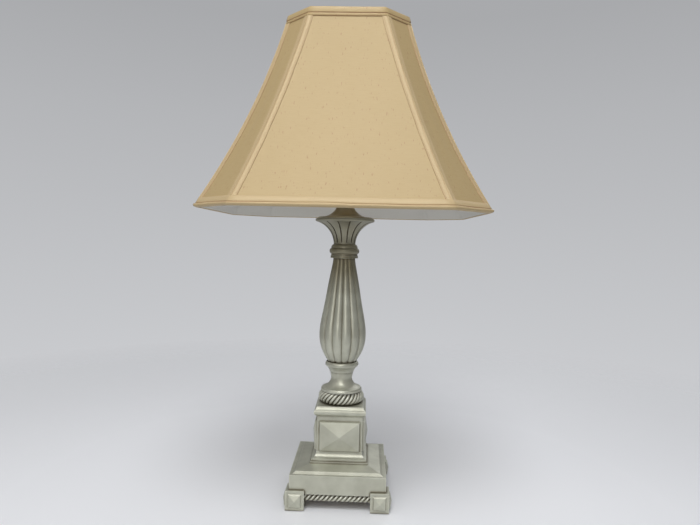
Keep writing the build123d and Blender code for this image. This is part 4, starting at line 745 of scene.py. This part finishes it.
warp = ripple(weave_group, flat.outputs["X"], given["Yarn"])
weft = ripple(weave_group, flat.outputs["Y"], given["Yarn"])
threads = calculate(weave_group, "MAXIMUM", warp, weft)
weave_group.links.new(threads, result["Threads"])
across = put(weave_group, "ShaderNodeMapping", Vector=given["Flat"], Scale=SLUB_SCALE).outputs[0]
slubs = put(weave_group, "ShaderNodeTexNoise", Vector=across, Scale=1.0, Detail=3.0, Roughness=0.6)
weave_group.links.new(slubs.outputs[0], result["Slubs"])
upward = put(weave_group, "ShaderNodeMapping", Vector=given["Flat"], Scale=FLECK_SCALE).outputs[0]
spots = put(weave_group, "ShaderNodeTexNoise", Vector=upward, Scale=1.0, Detail=1.0)
flecks = remap(weave_group, spots.outputs[0], FLECK_FROM, FLECK_FULL)
weave_group.links.new(flecks, result["Flecks"])
print("group:", weave_group.name)

# %% [markdown]
# The silk's material lays clouds, slubs and flecks over the cloth's colour, and draws a brown line
# wherever the points' own attribute asks for a stitch or a shadow. Threads and slubs also give the
# relief. The lining is the same weave in off-white, with no satin.

# %% Silk materials
# the brown of the stitch lines. It also draws the painted shadow lines in creases, along turned edges and
# over the bottom bead
STITCH_AND_SHADOW_BROWN, STITCH_AND_SHADOW_STRENGTH = (0.34, 0.15, 0.08), 0.85
YARN, SLUB_SHARE = 0.4 * MM, 0.3


def silk(name, light, dark, fleck, roughness, satin, fleck_share=0.6):
    """Woven cloth in flat coordinates: clouds, slubs, flecks, stitch lines and relief."""
    made, tree, shader = new_material(name)
    flat = put(tree, "ShaderNodeUVMap", {"uv_map": "flat"}).outputs[0]
    place = put(tree, "ShaderNodeTexCoord").outputs["Object"]
    woven = use_group(tree, weave_group, Flat=flat, Yarn=YARN)
    uneven = use_group(tree, grain_group, Vector=place, Cloud_Scale=9.0, Grain_Scale=500.0)
    streaks = calculate(tree, "MULTIPLY", remap(tree, woven["Slubs"], 0.35, 0.7), SLUB_SHARE)
    drifts = calculate(tree, "MULTIPLY", uneven["Clouds"], 0.5)
    depth = calculate(tree, "ADD", streaks, drifts, clamp=True)
    cloth = mix_colours(tree, depth, light, dark)
    specks = calculate(tree, "MULTIPLY", woven["Flecks"], fleck_share)
    flecked = mix_colours(tree, specks, cloth, fleck)
    line = put(tree, "ShaderNodeAttribute", {"attribute_name": "stitch_and_shadow_line"}).outputs["Fac"]
    strength = calculate(tree, "MULTIPLY", line, STITCH_AND_SHADOW_STRENGTH)
    shaded = mix_colours(tree, strength, flecked, STITCH_AND_SHADOW_BROWN)
    tree.links.new(shaded, shader.inputs["Base Color"])
    matt = remap(tree, woven["Slubs"], 0.3, 0.7, roughness - 0.05, roughness + 0.07)
    tree.links.new(matt, shader.inputs["Roughness"])
    shader.inputs["Metallic"].default_value = satin
    shader.inputs["Sheen Weight"].default_value = 0.08
    shader.inputs["Sheen Roughness"].default_value = 0.4
    thick = calculate(tree, "MULTIPLY", woven["Slubs"], 1.6)
    relief = calculate(tree, "ADD", woven["Threads"], thick)
    bump = put(tree, "ShaderNodeBump", Strength=0.3, Distance=0.08 * MM, Height=relief)
    tree.links.new(bump.outputs[0], shader.inputs["Normal"])
    print("silk:", name)
    return made


shade_silk = silk(
    "gold_beige_silk",
    light=(0.445, 0.33, 0.16),
    dark=(0.385, 0.28, 0.13),
    fleck=(0.29, 0.13, 0.055),
    roughness=0.48,
    satin=0.06,
)
# a lighter copy of the panels' silk for the ribbons and the bottom band. The extra lightness is a painted
# highlight, for where the bulging ribbon and the low band catch more light
lighter_ribbon_silk = silk(
    "ribbon_silk",
    light=(0.51, 0.388, 0.212),
    dark=(0.45, 0.338, 0.178),
    fleck=(0.35, 0.17, 0.09),
    roughness=0.48,
    satin=0.06,
    fleck_share=0.15,
)
lining_cloth = silk(
    "lining_cloth",
    light=(0.72, 0.70, 0.65),
    dark=(0.65, 0.63, 0.58),
    fleck=(0.66, 0.61, 0.54),
    roughness=0.62,
    satin=0.0,
    fleck_share=0.05,
)

# %% [markdown]
# ## Stretched panels
# A panel starts as a grid. Each row is laid from rib to rib, and the cloth is let in very slightly
# between them, because stretched silk pulls straight across the hollow bell. A slow uneven ripple
# of under half a millimetre keeps it from looking like sheet metal. Solidify gives it thickness.

# %% Sheet helper
SEAM_WELD = 0.01 * MM


def cloth_grid(name, columns, rows, place_point, flat_point, mark=None, closed=False, thickness=0.5):
    """A sheet from a grid primitive, with its thickness in millimetres.

    Each function takes the column and row shares, 0 to 1. They give a point's place, its place on
    the flat cloth in metres, and how dark its line is, for stitches and painted shadow lines alike.
    """
    deselect_all()
    bpy.ops.mesh.primitive_grid_add(x_subdivisions=columns, y_subdivisions=rows, size=2, calc_uvs=True)
    sheet = bpy.context.object
    sheet.name = name
    layer = sheet.data.uv_layers[0]
    layer.name = "flat"
    shares = [((v.co.x + 1) / 2, (v.co.y + 1) / 2) for v in sheet.data.vertices]
    for loop in sheet.data.loops:
        layer.data[loop.index].uv = flat_point(*shares[loop.vertex_index])
    # one attribute holds both the stitch lines and the painted shadow lines
    stitch = sheet.data.attributes.new("stitch_and_shadow_line", "FLOAT", "POINT")
    for vertex, (across, up) in zip(sheet.data.vertices, shares):
        vertex.co = place_point(across, up)
        stitch.data[vertex.index].value = mark(across, up) if mark else 0.0
    sheet.data.update()
    bpy.ops.object.mode_set(mode="EDIT")
    bpy.ops.mesh.select_all(action="SELECT")
    if closed:
        bpy.ops.mesh.remove_doubles(threshold=SEAM_WELD)
    bpy.ops.mesh.normals_make_consistent(inside=False)
    bpy.ops.object.mode_set(mode="OBJECT")
    wall = sheet.modifiers.new("thickness", "SOLIDIFY")
    wall.thickness, wall.offset = thickness * MM, -1
    bpy.ops.object.modifier_apply(modifier=wall.name)
    return sheet


# %% [markdown]
# The panels are listed round the shade, each from its own rib to the next. One seeded sequence
# gives every panel its own ripple, so each run makes the same shade.

# %% Panels
PANEL_COLUMNS, PANEL_ROWS, PANEL_SMOOTH = 28, 44, 60
LET_IN_CORNER, LET_IN_WIDE = 0.6 * MM, 1.2 * MM
RIPPLE_HEIGHT = 0.16 * MM
PANELS = [
    "corner_panel_front_right",
    "side_panel_right",
    "corner_panel_back_right",
    "back_panel",
    "corner_panel_back_left",
    "side_panel_left",
    "corner_panel_front_left",
    "front_panel",
]
random.seed(7)
for index, node_name in enumerate(PANELS):
    near, far = ribs[index], rib_after(index)
    wide_foot, wide_head = (far.foot - near.foot).length, (far.head - near.head).length
    phase = [random.uniform(0, 6.28) for _ in range(4)]
    let_in = LET_IN_CORNER if "corner" in node_name else LET_IN_WIDE

    def lay(across, up):
        outward = -let_in * 4 * across * (1 - across) * math.sin(math.pi * up)
        fade = math.sin(math.pi * min(1, max(0, across))) * math.sin(math.pi * up) ** 0.5
        ripples = math.sin(across * 9 + phase[0] + 2 * up)
        ripples += 0.6 * math.sin(across * 17 + phase[1] - 5 * up)
        ripples += 0.5 * math.sin(up * 7 + phase[2] + across * 3)
        low, high = near.point(up, 0), far.point(up, 0)
        facing = near.inward + far.inward
        return low.lerp(high, across) - facing.normalized() * (outward + RIPPLE_HEIGHT * fade * ripples)

    def cut(across, up):
        width = wide_foot + (wide_head - wide_foot) * up
        return ((across - 0.5) * width, up * near.length)

    panel = cloth_grid(f"{node_name}_silk", PANEL_COLUMNS, PANEL_ROWS, lay, cut)
    finish_piece(panel, shade_silk, "shade_silk", "shade", node_name, angle=PANEL_SMOOTH)

# %% [markdown]
# ## Ribbon over the ribs
# A silk ribbon is folded over every rib to hide where the panels meet. Right on the rib it makes a
# small rounded ridge. Its two long edges are turned under and end in a thin shadow line, and a row
# of stitches runs just inside each. The section below gives, in millimetres, the distance from the
# rib, the height over the silk and how dark the stitch or shadow is there. It is swept along the
# arc. The dark lines are stored on the points as an attribute, which the silk's material reads.

# %% Rib ribbons
RIBBON_SECTION = [
    (-8.6, 0.15, 0.9), (-8.5, 0.7, 0.35), (-8.0, 1.0, 0.0), (-7.2, 0.95, 0.1), (-6.8, 0.7, 0.5),
    (-6.4, 0.95, 0.05), (-4.0, 1.0, 0.0), (-1.9, 0.95, 0.0), (-1.35, 0.85, 0.45), (-0.9, 1.3, 0.0),
    (0.0, 1.7, 0.0),
]
RIBBON_SECTION += [(-off, proud, dark) for off, proud, dark in reversed(RIBBON_SECTION[:-1])]
RIBBON_ROWS, RIBBON_SMOOTH, RIBBON_THICKNESS = 60, 30, 0.3
# the bands' widths, and how far a ribbon's end is tucked under one
TOP_BAND, BOTTOM_BAND, TUCK = 15.2, 15.2, 4


def side_step(rib, neighbour):
    """The level direction from a rib towards its neighbour."""
    return (neighbour.foot - rib.foot).normalized()


def section_at(section, share):
    """The entry of a cross-section at a row or column share."""
    return section[round(share * (len(section) - 1))]


def section_width(section):
    """The flat width of cloth that a cross-section takes, in metres."""
    return sum(math.dist(a[:2], b[:2]) for a, b in zip(section, section[1:])) * MM


for index, rib in enumerate(ribs):
    before, after = side_step(rib, ribs[index - 1]), side_step(rib, rib_after(index))
    start = (BOTTOM_BAND - TUCK) * MM / rib.length
    stop = 1 - (TOP_BAND - TUCK) * MM / rib.length

    def lay(across, up):
        off, proud, dark = section_at(RIBBON_SECTION, across)
        share = start + (stop - start) * up
        side = before if off < 0 else after
        wander = 0.14 * math.sin(up * 23 + index) + 0.1 * math.sin(up * 41 + 2 * index)
        return rib.point(share, -(proud + 0.1 * wander) * MM) + side * (abs(off) + wander) * MM

    def cut(across, up):
        return (section_at(RIBBON_SECTION, across)[0] * MM, up * (stop - start) * rib.length)

    def mark(across, up):
        return section_at(RIBBON_SECTION, across)[2] * (0.8 + 0.2 * math.sin(up * 31 + index))

    ribbon = cloth_grid(
        f"rib_ribbon_{index + 1}",
        len(RIBBON_SECTION) - 1,
        RIBBON_ROWS,
        lay,
        cut,
        mark,
        thickness=RIBBON_THICKNESS,
    )
    finish_piece(ribbon, lighter_ribbon_silk, "shade_trim", "shade", "rib_trims", angle=RIBBON_SMOOTH)
    section_width(RIBBON_SECTION)

# %% [markdown]
# ## Bands round both edges
# The same silk runs round the top in two flat pleats, and round the bottom, where its lower edge
# is rolled into a soft bead. The bead wanders a little, and a painted shadow over it opens and closes.
# Each band then wraps over its ring wire and is glued down inside, where it meets the lining. Both
# are one sheet that goes right round the eight sides, and each side gets its own columns so that
# the corners stay crisp.

# %% Band helper
BAND_SMOOTH, BAND_THICKNESS = 50, 0.3


def band(name, section, from_top, columns, node_name, cloth, wave):
    """A closed band swept round one edge of the shade, with so many columns to each side.

    The wave changes a row of the section a little as it runs along the edge.
    """
    rows, total = len(section) - 1, len(ribs) * columns
    edges = side_lengths([rib.head if from_top else rib.foot for rib in ribs])
    starts = [sum(edges[:count]) for count in range(len(edges) + 1)]
    around = starts[-1]

    def run_at(across):
        """The side, the share along it and the distance run from the first corner."""
        column = round(across * total)
        side = min(len(ribs) - 1, column // columns)
        part = column / columns - side
        return side, part, starts[side] + edges[side] * part

    def lay(across, up):
        side, part, run = run_at(across)
        gap, proud, dark = wave(run, around, *section_at(section, up))
        ends = []
        for rib in (ribs[side], rib_after(side)):
            share = gap * MM / rib.length
            ends.append(rib.point(1 - share if from_top else share, -proud * MM))
        return ends[0].lerp(ends[1], part)

    def cut(across, up):
        return (run_at(across)[2], section_at(section, up)[0] * MM)

    def mark(across, up):
        return wave(run_at(across)[2], around, *section_at(section, up))[2]

    made = cloth_grid(name, total, rows, lay, cut, mark, closed=True, thickness=BAND_THICKNESS)
    finish_piece(made, cloth, "shade_trim", "shade", node_name, angle=BAND_SMOOTH)
    width = section_width(section)
    print(name, "flat mm:", round(width / MM, 1), "x", round(around / MM))


# %% [markdown]
# Each row of a band's section gives, in millimetres, the distance from the shade's edge and the
# height over the silk, and then how dark the shadow is. A negative distance lies past the edge, and
# a negative height inside the shade, where the cloth goes round the ring wire.

# %% Top and bottom bands
BEAD_MIDDLE, BEAD_REACH = 3.5, 4
TOP_SECTION = [
    (TOP_BAND, 0.2, 1.0), (15.1, 0.8, 0.6), (14.5, 1.5, 0.0), (11.3, 1.5, 0.05), (10.6, 1.35, 0.3),
    (10.3, 1.2, 1.0), (10.1, 1.9, 0.6), (9.3, 2.3, 0.0), (5.0, 2.3, 0.0), (1.2, 2.1, 0.0),
    (0.2, 1.7, 0.0), (-0.35, 0.8, 0.0), (-0.87, -0.8, 0.0), (-1.61, -2.4, 0.0), (-2.1, -4.0, 0.0),
    (-1.2, -4.9, 0.0), (2.5, -5.2, 0.0), (9.2, -5.3, 0.0), (12.0, -5.3, 0.0),
]
BOTTOM_SECTION = [
    (BOTTOM_BAND, 0.2, 0.7), (15.1, 0.8, 0.4), (14.4, 1.5, 0.0), (9.0, 1.5, 0.0), (6.0, 1.6, 0.0),
    (5.3, 1.4, 0.35), (4.9, 0.8, 1.0), (4.4, 0.9, 1.0), (4.1, 1.7, 0.3), (3.5, 2.5, 0.0),
    (2.4, 3.0, 0.0), (1.0, 2.8, 0.0), (0.0, 1.9, 0.0), (-0.5, 0.7, 0.0), (-0.6, -0.8, 0.0),
    (-0.6, -2.4, 0.0), (-0.3, -4.0, 0.0), (0.7, -4.9, 0.0), (3.4, -5.2, 0.2),
]


def still(run, around, gap, proud, dark):
    """Only a trace of a ripple along the pleats, and in how dark their painted shadow lines are."""
    turn = run / around * 2 * math.pi
    return gap + 0.12 * math.sin(9 * turn), proud, dark * (0.85 + 0.15 * math.sin(21 * turn))


def rolling(run, around, gap, proud, dark):
    """The bead wanders up and down and swells, and the painted shadow over it comes and goes."""
    turn = run / around * 2 * math.pi
    drift = 0.7 * math.sin(7 * turn + 1.0) + 0.45 * math.sin(17 * turn + 2.2)
    hold = max(0, 1 - abs(gap - BEAD_MIDDLE) / BEAD_REACH)
    swell = 0.25 * hold * math.sin(23 * turn)
    opening = 0.5 + 0.5 * math.sin(3 * turn + 0.6)
    return gap + hold * drift, proud + swell, dark * (0.25 + 0.75 * opening)


band(
    "top_band",
    TOP_SECTION,
    from_top=True,
    columns=10,
    node_name="top_trim",
    cloth=shade_silk,
    wave=still,
)
# the bottom band takes the lighter silk, whose extra lightness is a painted highlight
band(
    "bottom_band",
    BOTTOM_SECTION,
    from_top=False,
    columns=24,
    node_name="bottom_trim",
    cloth=lighter_ribbon_silk,
    wave=rolling,
)

# %% [markdown]
# ## The lining
# Inside, an off-white cloth hides the frame wires. It is one sheet round the eight sides, drawn a
# little slack between the ribs. From the front only the far half of it shows, under the front edge.

# %% Lining
LINING_DEPTH, LINING_SLACK, LINING_THICKNESS = 5.6, 1.2, 0.4
# shares of a rib's length: where the lining starts, and how much of it the lining covers
LINING_FROM, LINING_SPAN = 0.006, 0.964
LINING_COLUMNS, LINING_ROWS, LINING_SMOOTH = 12, 40, 60
lining_total = len(ribs) * LINING_COLUMNS


def lay_lining(across, up):
    """A point of the lining, inside the ribs and a little slack between them."""
    column = round(across * lining_total) % lining_total
    side, part = column // LINING_COLUMNS, (column % LINING_COLUMNS) / LINING_COLUMNS
    slack = LINING_SLACK * math.sin(math.pi * part) * math.sin(math.pi * up)
    share = LINING_FROM + LINING_SPAN * up
    near, far = ribs[side], rib_after(side)
    inward = (LINING_DEPTH + slack) * MM
    return near.point(share, inward).lerp(far.point(share, inward), part)


foot_run = sum(side_lengths([rib.foot for rib in ribs]))
head_run = sum(side_lengths([rib.head for rib in ribs]))
lining_length = ribs[0].length * LINING_SPAN


def cut_lining(across, up):
    """The same point on the flat cloth, in metres."""
    return (across * (foot_run + (head_run - foot_run) * up), up * lining_length)


lining = cloth_grid(
    "lining_sheet",
    lining_total,
    LINING_ROWS,
    lay_lining,
    cut_lining,
    closed=True,
    thickness=LINING_THICKNESS,
)
finish_piece(
    lining, lining_cloth, "shade_lining_cloth", "shade", "shade_lining", angle=LINING_SMOOTH
)
